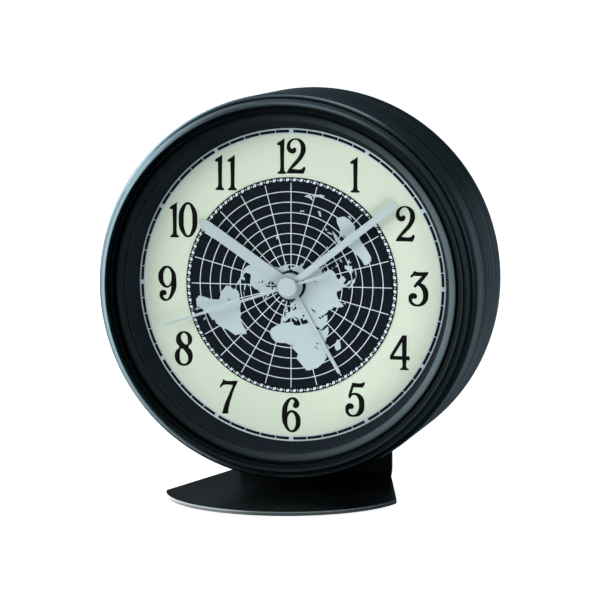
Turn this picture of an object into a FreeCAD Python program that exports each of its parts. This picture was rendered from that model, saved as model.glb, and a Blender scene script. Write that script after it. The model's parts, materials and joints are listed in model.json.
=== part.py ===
import FreeCAD, Part
import math
import os
import Sketcher

Vector = FreeCAD.Vector

# World time desk clock: a brushed drum on a bent sheet stand, with a polar map dial.
# X runs to the clock's left-to-right as seen from the front, Y to the rear, Z up.
# The origin is on the surface that the clock stands on, under the dial's front face.
# Depths along Y are counted from the dial's front face, so what lies ahead is negative.

# Driving dimensions, in millimetres and degrees
SIZES = {
    "whole": [
        ("clock_height", 122.9, "surface that it stands on to the top of the drum"),
        ("drum_diameter", 117.6, "outside of the drum"),
        ("foot_depth", 77.2, "nose of the foot to the back of the tab"),
    ],
    "stand": [
        ("pad_thickness", 0.8, "foam pad under the foot"),
        ("pad_inset", 8.0, "front edge of the foot to the pad"),
        ("pad_side_inset", 10.0, "front corners of the foot to the pad"),
        ("pad_rear_inset", 4.0, "pad ahead of the bend"),
        ("stand_thickness", 1.2, "sheet of the stand"),
        ("foot_corner_half", 35.75, "half width of the foot at its front corners"),
        ("foot_arc_radius", 36.5, "curved front edge of the foot"),
        ("tab_half", 24.6, "half width of the upright tab"),
        ("tab_corner_radius", 9.0, "rounded top corners of the tab"),
        ("tab_top_below_axis", 30.0, "top of the tab below the hub axis"),
        ("bend_radius", 1.6, "inside of the bend between foot and tab"),
        ("overrun", 1.6, "cutting outlines past the sheet"),
        ("stand_screw_spacing", 26.0, "between the two stand screws"),
        ("stand_screw_below_axis", 38.0, "stand screws below the hub axis"),
    ],
    "drum": [
        ("drum_wall", 1.5, "wall of the drum"),
        ("drum_ahead", 6.0, "front corner of the drum ahead of the dial"),
        ("drum_behind", 33.0, "rear edge of the drum behind the dial"),
        ("lip_reach", 2.4, "rolled lip ahead of the drum's corner"),
        ("lip_land", 0.35, "flat nose of the lip"),
        ("lip_round", 2.6, "rounding of the lip"),
        ("line_width", 0.45, "turned line behind the lip"),
        ("line_depth", 0.3, "depth of the turned line"),
    ],
    "bezel": [
        ("opening_radius", 50.5, "clear opening of the bezel"),
        ("edge_ahead", 9.0, "inner edge ahead of the dial"),
        ("edge_thickness", 0.8, "inner edge over the lens"),
        ("chamfer_width", 2.1, "turned face round the opening"),
        ("chamfer_rise", 0.8, "forward slope of the turned face"),
        ("channel_depth", 0.8, "channel between turned face and bead"),
        ("bead_radius", 1.85, "round bead of the bezel"),
        ("bead_ahead", 12.7, "nose of the bead ahead of the dial"),
        ("bezel_behind", 4.6, "back of the bezel ahead of the dial"),
        ("bezel_clearance", 0.1, "bezel in the drum, lens in the bezel"),
        ("lens_land", 1.8, "lens behind the inner edge"),
        ("lens_thickness", 1.2, "flat glass"),
        ("gasket_thickness", 0.6, "ring between lens and dial surround"),
    ],
    "dial": [
        ("rim_foot_ahead", 5.0, "sloped rim's outer edge ahead of the dial"),
        ("rim_toe_radius", 47.9, "sloped rim's inner edge"),
        ("rim_toe_thickness", 0.3, "edge of the rim on the dial"),
        ("dial_radius", 50.4, "dial disc"),
        ("dial_thickness", 0.6, "dial disc"),
        ("dial_clearance", 0.1, "dial in its seat"),
        ("dial_hole_radius", 4.6, "hole for the hands' tubes"),
        ("track_outer", 47.75, "minute track"),
        ("track_inner", 46.15, "minute track"),
        ("track_thickness", 0.15, "minute track"),
        ("map_radius", 33.0, "map disc"),
        ("map_thickness", 0.3, "map disc"),
        ("carrier_radius", 56.8, "plate that carries dial and movement"),
        ("carrier_thickness", 1.6, "plate that carries dial and movement"),
        ("carrier_screw_circle", 53.6, "radius of the carrier's screws"),
        ("post_circle", 53.0, "radius of the long posts"),
        ("post_radius", 2.4, "long posts that take the rear cover"),
        ("post_clearance", 0.2, "posts through the carrier"),
        ("post_direction", 45.0, "first post from the X axis"),
    ],
    "hands": [
        ("hour_count", 10, "whole hours shown"),
        ("minute_angle", 52.2, "minute hand from twelve, in degrees"),
        ("second_angle", 252.0, "second hand from twelve, in degrees"),
        ("alarm_angle", 149.8, "alarm hand from twelve, in degrees"),
        ("hand_thickness", 0.4, "sheet of the hands"),
        ("hand_gap", 0.6, "between one hand and the next"),
        ("hour_length", 33.5, "hub to tip"),
        ("hour_width", 3.4, "straight blade with a round end"),
        ("hour_boss", 4.0, "radius of the ring on its tube"),
        ("minute_length", 42.2, "hub to tip"),
        ("minute_width", 2.2, "straight blade with a round end"),
        ("minute_boss", 3.6, "radius of the ring on its tube"),
        ("second_length", 41.5, "hub to tip"),
        ("second_tail", 13.4, "hub to tail"),
        ("second_width", 0.8, "thin blade"),
        ("second_boss", 2.4, "radius under the cap"),
        ("alarm_length", 30.5, "hub to tip"),
        ("alarm_root_width", 1.5, "tapered blade at the hub"),
        ("alarm_tip_width", 1.0, "tapered blade at the tip"),
        ("alarm_boss", 3.6, "radius of the ring on its tube"),
        ("cap_radius", 3.1, "cap over the hub"),
        ("cap_height", 1.7, "cap over the hub"),
        ("cap_edge", 0.35, "bevelled edge of the cap"),
    ],
    "movement": [
        ("movement_half", 30.0, "half side of the square movement"),
        ("plate_thickness", 1.2, "movement frame and cover"),
        ("bridge_thickness", 1.0, "inner plate"),
        ("bridge_clearance", 0.3, "bridge inside the frame walls"),
        ("wheel_thickness", 0.9, "wheel faces"),
        ("wheel_gap", 0.5, "between wheel levels"),
        ("pinion_overhang", 0.15, "pinion past its wheel on each side"),
        ("running_clearance", 0.06, "radial clearance of every bearing"),
        ("arbor_radius", 0.5, "steel arbors"),
        ("pivot_depth", 0.8, "arbor ends in the plates"),
        ("tube_wall", 0.65, "walls of the nested tubes"),
        ("bush_wall", 1.4, "wall of the front bush"),
        ("bush_ahead", 0.4, "front bush ahead of the dial"),
        ("stud_radius", 0.8, "fixed stud of the transfer wheel"),
        ("corner_post_radius", 2.6, "corner posts"),
        ("corner_post_inset", 4.0, "post axis from the movement's side"),
        ("corner_post_step", 0.6, "shoulder under the bridge"),
        ("hub_wall", 1.0, "bosses on the wheels"),
    ],
    "teeth": [
        ("addendum_share", 0.85, "tooth tip above the pitch circle, in modules"),
        ("dedendum_share", 1.15, "tooth root below the pitch circle, in modules"),
        ("root_share", 0.60, "tooth width at the root, of one pitch"),
        ("tip_share", 0.24, "tooth width at the tip, of one pitch"),
        ("motion_module", 0.75, "cannon pinion, transfer wheel and hour wheel"),
        ("cannon_teeth", 10, ""),
        ("transfer_teeth", 30, ""),
        ("transfer_pinion_teeth", 8, ""),
        ("hour_teeth", 32, ""),
        ("set_teeth", 10, "pinion of the time setting stem"),
        ("alarm_module", 0.5, "alarm wheel and its setting pinion"),
        ("alarm_teeth", 48, ""),
        ("alarm_pinion_teeth", 14, ""),
        ("centre_module", 0.45, "centre wheel and third pinion"),
        ("centre_teeth", 60, ""),
        ("third_pinion_teeth", 8, ""),
        ("third_module", 0.425, "third wheel and second pinion"),
        ("third_teeth", 64, ""),
        ("second_pinion_teeth", 8, ""),
        ("second_module", 0.4, "second wheel, intermediate wheel and rotor"),
        ("second_teeth", 40, ""),
        ("intermediate_pinion_teeth", 8, ""),
        ("intermediate_teeth", 36, ""),
        ("rotor_teeth", 6, ""),
        ("third_direction", 135.0, "third arbor from the hub"),
        ("transfer_direction", -60.0, "transfer stud from the hub"),
        ("set_direction", -30.0, "time setting stem from the transfer stud"),
        ("alarm_direction", 45.0, "alarm setting stem from the hub"),
        ("intermediate_direction", 0.0, "intermediate arbor from the hub"),
        ("rotor_direction", -75.0, "rotor from the intermediate arbor"),
    ],
    "motor": [
        ("magnet_radius", 2.3, "rotor magnet"),
        ("magnet_length", 1.6, "rotor magnet"),
        ("magnet_gap", 0.4, "magnet in the stator"),
        ("stator_thickness", 0.8, "stator plate"),
        ("stator_rim", 1.7, "metal round the rotor hole and its window"),
        ("coil_right", 22.0, "coil axis right of the hub"),
        ("coil_below", 9.8, "coil centre below the hub"),
        ("coil_radius", 2.8, "coil"),
        ("coil_length", 11.0, "coil"),
        ("coil_core_width", 1.8, "stator bar through the coil"),
        ("coil_clearance", 0.1, "bar in the coil"),
        ("board_thickness", 0.8, "circuit board"),
        ("board_width", 22.0, "circuit board"),
        ("board_height", 16.0, "circuit board"),
        ("board_left", 14.0, "board centre left of the hub"),
        ("board_below", 13.0, "board centre below the hub"),
        ("quartz_radius", 1.0, "quartz can"),
        ("quartz_length", 6.0, "quartz can"),
        ("quartz_above", 4.0, "quartz can above the board's centre"),
    ],
    "rear": [
        ("cover_thickness", 1.8, "rear cover"),
        ("cover_clearance", 0.1, "rear cover in the drum"),
        ("skirt_wall", 1.4, "rim inside the drum"),
        ("skirt_depth", 5.0, "rim inside the drum"),
        ("bay_above", 40.0, "battery axis above the hub"),
        ("bay_length", 55.0, "battery bay inside"),
        ("bay_wall", 1.2, "battery bay walls"),
        ("cell_radius", 7.1, "bare AA cell"),
        ("cell_length", 49.2, "bare AA cell without its nub"),
        ("nub_radius", 2.6, "positive nub"),
        ("nub_length", 1.2, "positive nub"),
        ("cell_clearance", 0.4, "cell in its bay"),
        ("contact_thickness", 0.4, "contact sheets"),
        ("contact_width", 8.0, "contact sheets"),
        ("door_thickness", 1.6, "battery door"),
        ("door_lap", 1.6, "door past the bay on each side"),
        ("door_clearance", 0.2, "door in its recess"),
        ("door_grip_width", 12.0, "finger recess in the door"),
        ("door_grip_height", 3.0, "finger recess in the door"),
        ("door_grip_depth", 0.8, "finger recess in the door"),
        ("buzzer_radius", 11.0, "sounder capsule"),
        ("buzzer_depth", 5.0, "sounder capsule"),
        ("buzzer_left", 22.0, "sounder left of the hub"),
        ("buzzer_below", 6.0, "sounder below the hub"),
        ("slot_length", 10.0, "sound slots"),
        ("slot_width", 1.2, "sound slots"),
        ("slot_pitch", 2.6, "sound slots"),
        ("slot_count", 5, "sound slots"),
        ("switch_left", 22.0, "switch centre left of the hub"),
        ("switch_above", 16.0, "switch centre above the hub"),
        ("switch_travel", 4.0, "alarm switch travel"),
        ("switch_length", 8.0, "switch button"),
        ("switch_height", 5.0, "switch button"),
        ("switch_stand_out", 2.2, "switch button behind the cover"),
        ("switch_neck_length", 4.0, "neck through the cover"),
        ("switch_neck_height", 2.4, "neck through the cover"),
        ("switch_clearance", 0.15, "neck in its slot and plates on the cover"),
        ("switch_keeper", 1.0, "keeper plate inside"),
    ],
    "knobs": [
        ("stem_radius", 1.2, "setting stems"),
        ("stem_hole_clearance", 0.4, "stems in the rear cover"),
        ("knob_radius", 6.0, "setting knobs"),
        ("knob_length", 6.5, "setting knobs"),
        ("knob_gap", 0.4, "knob behind the cover"),
        ("knob_flutes", 16, "grip flutes"),
        ("flute_half", 0.75, "half width of a flute at the knob's surface"),
        ("flute_depth", 0.5, "grip flutes"),
        ("knob_edge", 0.6, "chamfer of the knob"),
        ("knob_socket", 4.0, "stem's depth in the knob"),
    ],
    "screws": [
        ("screw_radius", 1.1, "threaded shanks"),
        ("screw_head_radius", 2.1, "screw heads"),
        ("screw_head_height", 1.3, "screw heads"),
        ("screw_bite", 6.0, "pilot holes in the piece behind"),
        ("screw_end_room", 1.2, "screw's end short of its pilot hole"),
        ("screw_clearance", 0.05, "radial room round every shank"),
        ("screw_boss_wall", 1.6, "bosses round the stand screws"),
        ("slot_across", 0.7, "driving slot"),
        ("slot_deep", 0.6, "driving slot"),
    ],
}

doc = FreeCAD.newDocument("world_time_clock")
dim = doc.addObject("Spreadsheet::Sheet", "dim")


def fill_sheet():
    """Write every driving dimension to the sheet, one row each, under its group's heading."""
    row = 1
    for group, sizes in SIZES.items():
        dim.set(f"A{row}", group)
        row += 1
        for alias, number, meaning in sizes:
            dim.set(f"A{row}", alias)
            dim.set(f"B{row}", str(number))
            dim.set(f"C{row}", meaning)
            dim.setAlias(f"B{row}", alias)
            row += 1
    doc.recompute()


fill_sheet()


def value(expression):
    """Number that an expression on the sheet has now."""
    return float(dim.evalExpression(str(expression)))


def polar(radius, direction):
    """Expressions for the X and Z of a place at a radius and direction."""
    return f"({radius}) * cos({direction})", f"({radius}) * sin({direction})"


# Heights and depths that several pieces share
DRUM_RADIUS = "(dim.drum_diameter / 2)"
HUB = f"(dim.clock_height - {DRUM_RADIUS})"
DRUM_BORE = f"({DRUM_RADIUS} - dim.drum_wall)"
BEZEL_OUTER = f"({DRUM_BORE} - dim.bezel_clearance)"
LENS_POCKET = "(dim.opening_radius + dim.lens_land + dim.bezel_clearance)"
LENS_RADIUS = "(dim.opening_radius + dim.lens_land)"
LENS_FRONT = "(dim.edge_thickness - dim.edge_ahead)"
GASKET_FRONT = f"({LENS_FRONT} + dim.lens_thickness)"
SURROUND_FRONT = f"({GASKET_FRONT} + dim.gasket_thickness)"
CARRIER_FRONT = "dim.dial_thickness"
MOVEMENT_FRONT = "(dim.dial_thickness + dim.carrier_thickness)"
WHEEL_STEP = "(dim.wheel_thickness + dim.wheel_gap)"
INSIDE_FRONT = f"({MOVEMENT_FRONT} + dim.plate_thickness)"
ALARM_LEVEL = f"({INSIDE_FRONT} + dim.wheel_gap)"
HOUR_LEVEL = f"({ALARM_LEVEL} + {WHEEL_STEP})"
CANNON_LEVEL = f"({HOUR_LEVEL} + {WHEEL_STEP})"
CENTRE_LEVEL = f"({CANNON_LEVEL} + {WHEEL_STEP})"
THIRD_LEVEL = f"({CENTRE_LEVEL} + {WHEEL_STEP})"
BRIDGE_FRONT = f"({THIRD_LEVEL} + {WHEEL_STEP})"
SECOND_LEVEL = f"({BRIDGE_FRONT} + dim.bridge_thickness + dim.wheel_gap)"
INTERMEDIATE_LEVEL = f"({SECOND_LEVEL} + {WHEEL_STEP})"
MAGNET_FRONT = f"({INTERMEDIATE_LEVEL} + {WHEEL_STEP})"
STATOR_MIDDLE = f"({MAGNET_FRONT} + dim.magnet_length / 2)"
COVER_INSIDE = f"({STATOR_MIDDLE} + dim.coil_radius + dim.wheel_gap)"
MOVEMENT_REAR = f"({COVER_INSIDE} + dim.plate_thickness)"
REAR_FACE = "dim.drum_behind"
REAR_INSIDE = "(dim.drum_behind - dim.cover_thickness)"

# Nested tubes on the hub axis, from the inside out
CANNON_BORE = "(dim.arbor_radius + dim.running_clearance)"
CANNON_TUBE = f"({CANNON_BORE} + dim.tube_wall)"
HOUR_BORE = f"({CANNON_TUBE} + dim.running_clearance)"
HOUR_TUBE = f"({HOUR_BORE} + dim.tube_wall)"
ALARM_BORE = f"({HOUR_TUBE} + dim.running_clearance)"
ALARM_TUBE = f"({ALARM_BORE} + dim.tube_wall)"
BUSH_BORE = f"({ALARM_TUBE} + dim.running_clearance)"
BUSH_OUTER = f"({BUSH_BORE} + dim.bush_wall)"

# Fronts of the hands, each one step ahead of the last
HAND_STEP = "(dim.hand_thickness + dim.hand_gap)"
ALARM_HAND_FRONT = f"(-dim.bush_ahead - {HAND_STEP})"
HOUR_HAND_FRONT = f"({ALARM_HAND_FRONT} - {HAND_STEP})"
MINUTE_HAND_FRONT = f"({HOUR_HAND_FRONT} - {HAND_STEP})"
SECOND_HAND_FRONT = f"({MINUTE_HAND_FRONT} - {HAND_STEP})"

# Places of the arbors
CENTRE_DISTANCE = "(dim.centre_module * (dim.centre_teeth + dim.third_pinion_teeth) / 2)"
MOTION_DISTANCE = "(dim.motion_module * (dim.cannon_teeth + dim.transfer_teeth) / 2)"
SET_DISTANCE = "(dim.motion_module * (dim.set_teeth + dim.transfer_teeth) / 2)"
ALARM_DISTANCE = "(dim.alarm_module * (dim.alarm_teeth + dim.alarm_pinion_teeth) / 2)"
INTERMEDIATE_DISTANCE = "(dim.second_module * (dim.second_teeth + dim.intermediate_pinion_teeth) / 2)"
ROTOR_DISTANCE = "(dim.second_module * (dim.intermediate_teeth + dim.rotor_teeth) / 2)"
THIRD_X, THIRD_Z = polar(CENTRE_DISTANCE, "dim.third_direction")
TRANSFER_X, TRANSFER_Z = polar(MOTION_DISTANCE, "dim.transfer_direction")
SET_STEP_X, SET_STEP_Z = polar(SET_DISTANCE, "dim.set_direction")
SET_X = f"({TRANSFER_X} + {SET_STEP_X})"
SET_Z = f"({TRANSFER_Z} + {SET_STEP_Z})"
ALARM_X, ALARM_Z = polar(ALARM_DISTANCE, "dim.alarm_direction")
INTERMEDIATE_X, INTERMEDIATE_Z = polar(INTERMEDIATE_DISTANCE, "dim.intermediate_direction")
ROTOR_STEP_X, ROTOR_STEP_Z = polar(ROTOR_DISTANCE, "dim.rotor_direction")
ROTOR_X = f"({INTERMEDIATE_X} + {ROTOR_STEP_X})"
ROTOR_Z = f"({INTERMEDIATE_Z} + {ROTOR_STEP_Z})"


def new_body(name, x="0", z="0"):
    """Body whose own origin is at the dial's front face, on the hub axis or beside it."""
    body = doc.addObject("PartDesign::Body", name)
    body.Label = name
    body.setExpression(".Placement.Base.x", x)
    body.setExpression(".Placement.Base.z", f"{HUB} + {z}")
    return body


def origin_plane(body, role):
    """One of the body's own origin planes or axes."""
    return [item for item in body.Origin.OriginFeatures if item.Role == role][0]


def add_loop(sketch, corners):
    """Closed outline from corners (x, y), or (x, y, radius, side) where an arc leaves the corner.

    The side is 1 where the arc bulges to the left of the way it runs, and -1 to the right.
    """
    first = sketch.GeometryCount
    places = [(value(corner[0]), value(corner[1])) for corner in corners]
    count = len(corners)
    starts = []
    ends = []
    for number, corner in enumerate(corners):
        here = Vector(*places[number], 0)
        there = Vector(*places[(number + 1) % count], 0)
        if len(corner) == 2:
            sketch.addGeometry(Part.LineSegment(here, there), False)
            starts.append(1)
            ends.append(2)
            continue
        radius = value(corner[2])
        chord = there - here
        left = Vector(-chord.y, chord.x, 0).normalize()
        rise = math.sqrt(radius ** 2 - (chord.Length / 2) ** 2)
        bulge = here + chord / 2 + left * corner[3] * (radius - rise)
        arc = Part.Arc(here, bulge, there)
        sketch.addGeometry(arc, False)
        # A sketch's arcs always run anticlockwise, so one that bulges left is stored turned round
        starts.append(2 if corner[3] > 0 else 1)
        ends.append(1 if corner[3] > 0 else 2)
    for number in range(count):
        after = (number + 1) % count
        sketch.addConstraint(
            Sketcher.Constraint("Coincident", first + number, ends[number], first + after, starts[after])
        )
    for number, corner in enumerate(corners):
        for kind, expression, place in zip(("DistanceX", "DistanceY"), corner[:2], places[number]):
            index = sketch.addConstraint(
                Sketcher.Constraint(kind, -1, 1, first + number, starts[number], place)
            )
            sketch.setExpression(f"Constraints[{index}]", str(expression))
        if len(corner) == 4:
            index = sketch.addConstraint(
                Sketcher.Constraint("Radius", first + number, value(corner[2]))
            )
            sketch.setExpression(f"Constraints[{index}]", str(corner[2]))


def add_circle(sketch, x, y, radius):
    """Full circle round a place."""
    circle = Part.Circle(Vector(value(x), value(y), 0), Vector(0, 0, 1), value(radius))
    number = sketch.addGeometry(circle, False)
    for kind, expression in (("DistanceX", x), ("DistanceY", y)):
        index = sketch.addConstraint(
            Sketcher.Constraint(kind, -1, 1, number, 3, value(expression))
        )
        sketch.setExpression(f"Constraints[{index}]", str(expression))
    index = sketch.addConstraint(Sketcher.Constraint("Radius", number, value(radius)))
    sketch.setExpression(f"Constraints[{index}]", str(radius))


def new_sketch(body, name, role, loops, offset="0"):
    """Sketch on one of the body's own planes, set off along the plane's normal."""
    sketch = body.newObject("Sketcher::SketchObject", f"{body.Name}_{name}")
    sketch.AttachmentSupport = (origin_plane(body, role), "")
    sketch.MapMode = "FlatFace"
    sketch.setExpression("AttachmentOffset.Base.z", str(offset))
    for loop in loops:
        if loop[0] == "circle":
            add_circle(sketch, *loop[1:])
        else:
            add_loop(sketch, loop)
    return sketch


def box(x_low, z_low, x_high, z_high):
    """Corners of a rectangle in the front view."""
    return [(x_low, z_low), (x_high, z_low), (x_high, z_high), (x_low, z_high)]


def turned(body, name, corners):
    """Ring or disc turned about the hub axis, from its section (radius, depth)."""
    sketch = new_sketch(body, f"{name}_section", "XY_Plane", [corners])
    feature = body.newObject("PartDesign::Revolution", f"{body.Name}_{name}")
    feature.Profile = sketch
    feature.ReferenceAxis = (sketch, ["V_Axis"])
    feature.Angle = 360
    doc.recompute()
    return feature


def grooved(body, name, corners):
    """Groove turned about the hub axis."""
    before = body.Shape.Volume
    sketch = new_sketch(body, f"{name}_section", "XY_Plane", [corners])
    feature = body.newObject("PartDesign::Groove", f"{body.Name}_{name}")
    feature.Profile = sketch
    feature.ReferenceAxis = (sketch, ["V_Axis"])
    feature.Angle = 360
    doc.recompute()
    check_smaller(body, name, before)
    return feature


def check_smaller(body, name, before):
    """A cut has to take material away."""
    if body.Shape.Volume >= before:
        raise ValueError(f"{body.Name}: {name} cuts nothing")


def raised(body, name, loops, front, length):
    """Outline in the front view, filled from a depth towards the rear."""
    sketch = new_sketch(body, f"{name}_outline", "XZ_Plane", loops, f"-({front})")
    feature = body.newObject("PartDesign::Pad", f"{body.Name}_{name}")
    feature.Profile = sketch
    feature.setExpression("Length", str(length))
    feature.Reversed = True
    doc.recompute()
    return feature


def cut(body, name, loops, front, length):
    """Outline in the front view, cut from a depth towards the rear."""
    before = body.Shape.Volume
    sketch = new_sketch(body, f"{name}_outline", "XZ_Plane", loops, f"-({front})")
    feature = body.newObject("PartDesign::Pocket", f"{body.Name}_{name}")
    feature.Profile = sketch
    feature.setExpression("Length", str(length))
    doc.recompute()
    check_smaller(body, name, before)
    return feature


def repeated_round(body, name, originals, count):
    """Features repeated evenly round the hub axis."""
    feature = body.newObject("PartDesign::PolarPattern", f"{body.Name}_{name}")
    feature.Originals = originals
    feature.Axis = (origin_plane(body, "Y_Axis"), [""])
    feature.Angle = 360
    if isinstance(count, str):
        feature.setExpression("Occurrences", count)
    else:
        feature.Occurrences = count
    body.Tip = feature
    doc.recompute()
    return feature


# Drum, bezel and lens


def make_drum_case():
    body = new_body("drum_case")
    nose = "-(dim.drum_ahead + dim.lip_reach)"
    turned(body, "tube", [
        (DRUM_BORE, nose),
        (f"{DRUM_BORE} + dim.lip_land", nose, "dim.lip_round", -1),
        (DRUM_RADIUS, "-dim.drum_ahead"),
        (DRUM_RADIUS, REAR_FACE),
        (DRUM_BORE, REAR_FACE),
    ])
    grooved(body, "line", [
        (f"{DRUM_RADIUS} - dim.line_depth", "-dim.drum_ahead + dim.line_width"),
        (f"{DRUM_RADIUS} + dim.line_depth", "-dim.drum_ahead + dim.line_width"),
        (f"{DRUM_RADIUS} + dim.line_depth", "-dim.drum_ahead + 2 * dim.line_width"),
        (f"{DRUM_RADIUS} - dim.line_depth", "-dim.drum_ahead + 2 * dim.line_width"),
    ])
    return body


def make_bezel_ring():
    body = new_body("bezel_ring")
    chamfer_outer = "(dim.opening_radius + dim.chamfer_width)"
    chamfer_front = "-(dim.edge_ahead + dim.chamfer_rise)"
    channel = f"{chamfer_front} + dim.channel_depth"
    bead_middle = "-(dim.bead_ahead - dim.bead_radius)"
    turned(body, "ring", [
        ("dim.opening_radius", "-dim.edge_ahead"),
        ("dim.opening_radius", LENS_FRONT),
        (LENS_POCKET, LENS_FRONT),
        (LENS_POCKET, "-dim.bezel_behind"),
        (BEZEL_OUTER, "-dim.bezel_behind"),
        (BEZEL_OUTER, bead_middle, "dim.bead_radius", -1),
        (f"{BEZEL_OUTER} - dim.bead_radius", "-dim.bead_ahead", "dim.bead_radius", -1),
        (f"{BEZEL_OUTER} - 2 * dim.bead_radius", bead_middle),
        (f"{BEZEL_OUTER} - 2 * dim.bead_radius", channel),
        (chamfer_outer, channel),
        (chamfer_outer, chamfer_front),
    ])
    return body


def make_lens():
    body = new_body("lens")
    raised(body, "disc", [("circle", "0", "0", LENS_RADIUS)], LENS_FRONT, "dim.lens_thickness")
    return body


def make_lens_gasket():
    body = new_body("lens_gasket")
    loops = [("circle", "0", "0", LENS_RADIUS), ("circle", "0", "0", "dim.opening_radius")]
    raised(body, "ring", loops, GASKET_FRONT, "dim.gasket_thickness")
    return body


# Dial and what carries it

POST_X = "(dim.post_circle * cos(dim.post_direction))"
POST_Z = "(dim.post_circle * sin(dim.post_direction))"
PILOT = "(dim.screw_radius + dim.screw_clearance)"
CARRIER_BITE = "(dim.bezel_behind - dim.dial_clearance - dim.edge_thickness)"
CORNER = "(dim.movement_half - dim.corner_post_inset)"


def make_dial_surround():
    body = new_body("dial_surround")
    shoulder = "-(dim.bezel_behind - dim.bezel_clearance)"
    turned(body, "rim", [
        ("dim.opening_radius", SURROUND_FRONT),
        ("dim.opening_radius", "-dim.rim_foot_ahead"),
        ("dim.rim_toe_radius", "-dim.rim_toe_thickness"),
        ("dim.rim_toe_radius", "0"),
        ("dim.dial_radius + dim.dial_clearance", "0"),
        ("dim.dial_radius + dim.dial_clearance", CARRIER_FRONT),
        (BEZEL_OUTER, CARRIER_FRONT),
        (BEZEL_OUTER, shoulder),
        (f"{LENS_POCKET} - dim.bezel_clearance", shoulder),
        (f"{LENS_POCKET} - dim.bezel_clearance", SURROUND_FRONT),
    ])
    post_length = f"{REAR_INSIDE} - {CARRIER_FRONT}"
    post = raised(body, "post", [("circle", POST_X, POST_Z, "dim.post_radius")], CARRIER_FRONT, post_length)
    repeated_round(body, "posts", [post], 4)
    pilot = cut(
        body, "pilot", [("circle", POST_X, POST_Z, PILOT)],
        f"{REAR_INSIDE} - dim.screw_bite", "dim.screw_bite",
    )
    repeated_round(body, "pilots", [pilot], 4)
    side = cut(
        body, "carrier_pilot", [("circle", "dim.carrier_screw_circle", "0", PILOT)],
        f"{CARRIER_FRONT} - {CARRIER_BITE}", CARRIER_BITE,
    )
    repeated_round(body, "carrier_pilots", [side], 4)
    return body


def make_dial_plate():
    body = new_body("dial_plate")
    loops = [("circle", "0", "0", "dim.dial_radius"), ("circle", "0", "0", "dim.dial_hole_radius")]
    raised(body, "disc", loops, "0", "dim.dial_thickness")
    return body


def make_minute_track():
    body = new_body("minute_track")
    loops = [("circle", "0", "0", "dim.track_outer"), ("circle", "0", "0", "dim.track_inner")]
    raised(body, "ring", loops, "-dim.track_thickness", "dim.track_thickness")
    return body


def make_map_disc():
    body = new_body("map_disc")
    loops = [("circle", "0", "0", "dim.map_radius"), ("circle", "0", "0", "dim.dial_hole_radius")]
    raised(body, "disc", loops, "-dim.map_thickness", "dim.map_thickness")
    return body


def make_dial_carrier():
    body = new_body("dial_carrier")
    loops = [("circle", "0", "0", "dim.carrier_radius"), ("circle", "0", "0", "dim.dial_hole_radius")]
    raised(body, "plate", loops, CARRIER_FRONT, "dim.carrier_thickness")
    hole = cut(
        body, "post_hole", [("circle", POST_X, POST_Z, "dim.post_radius + dim.post_clearance")],
        CARRIER_FRONT, "dim.carrier_thickness",
    )
    repeated_round(body, "post_holes", [hole], 4)
    screw = cut(
        body, "screw_hole", [("circle", "dim.carrier_screw_circle", "0", PILOT)],
        CARRIER_FRONT, "dim.carrier_thickness",
    )
    repeated_round(body, "screw_holes", [screw], 4)
    corner = cut(
        body, "movement_hole", [("circle", CORNER, CORNER, PILOT)],
        CARRIER_FRONT, "dim.carrier_thickness",
    )
    repeated_round(body, "movement_holes", [corner], 4)
    return body


# Movement frame, bridge and cover


def make_movement_frame():
    body = new_body("movement_frame")
    half = "dim.movement_half"
    inside = "(dim.movement_half - dim.plate_thickness)"
    depth = f"({COVER_INSIDE} - {MOVEMENT_FRONT})"
    raised(body, "block", [box(f"-{half}", f"-{half}", half, half)], MOVEMENT_FRONT, depth)
    cut(
        body, "hollow", [box(f"-{inside}", f"-{inside}", inside, inside)],
        INSIDE_FRONT, f"{COVER_INSIDE} - {INSIDE_FRONT}",
    )
    low = raised(
        body, "low_post", [("circle", CORNER, CORNER, "dim.corner_post_radius")],
        INSIDE_FRONT, f"{BRIDGE_FRONT} - {INSIDE_FRONT}",
    )
    high = raised(
        body, "high_post", [("circle", CORNER, CORNER, "dim.corner_post_radius - dim.corner_post_step")],
        BRIDGE_FRONT, f"{COVER_INSIDE} - {BRIDGE_FRONT}",
    )
    repeated_round(body, "posts", [low, high], 4)
    raised(
        body, "bush", [("circle", "0", "0", BUSH_OUTER)],
        "-dim.bush_ahead", f"{MOVEMENT_FRONT} + dim.bush_ahead",
    )
    raised(
        body, "stud", [("circle", TRANSFER_X, TRANSFER_Z, "dim.stud_radius")],
        INSIDE_FRONT, f"{CENTRE_LEVEL} - dim.wheel_gap / 2 - {INSIDE_FRONT}",
    )
    screw = cut(
        body, "screw_hole", [("circle", CORNER, CORNER, PILOT)],
        MOVEMENT_FRONT, depth,
    )
    repeated_round(body, "screw_holes", [screw], 4)
    cut(
        body, "bush_bore", [("circle", "0", "0", BUSH_BORE)],
        "-dim.bush_ahead", f"{INSIDE_FRONT} + dim.bush_ahead",
    )
    seats = [
        ("circle", THIRD_X, THIRD_Z, "dim.arbor_radius + dim.running_clearance"),
        ("circle", SET_X, SET_Z, "dim.stem_radius + dim.running_clearance"),
        ("circle", ALARM_X, ALARM_Z, "dim.stem_radius + dim.running_clearance"),
    ]
    cut(body, "pivot_seats", seats, f"{INSIDE_FRONT} - dim.pivot_depth", "dim.pivot_depth")
    return body


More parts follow.
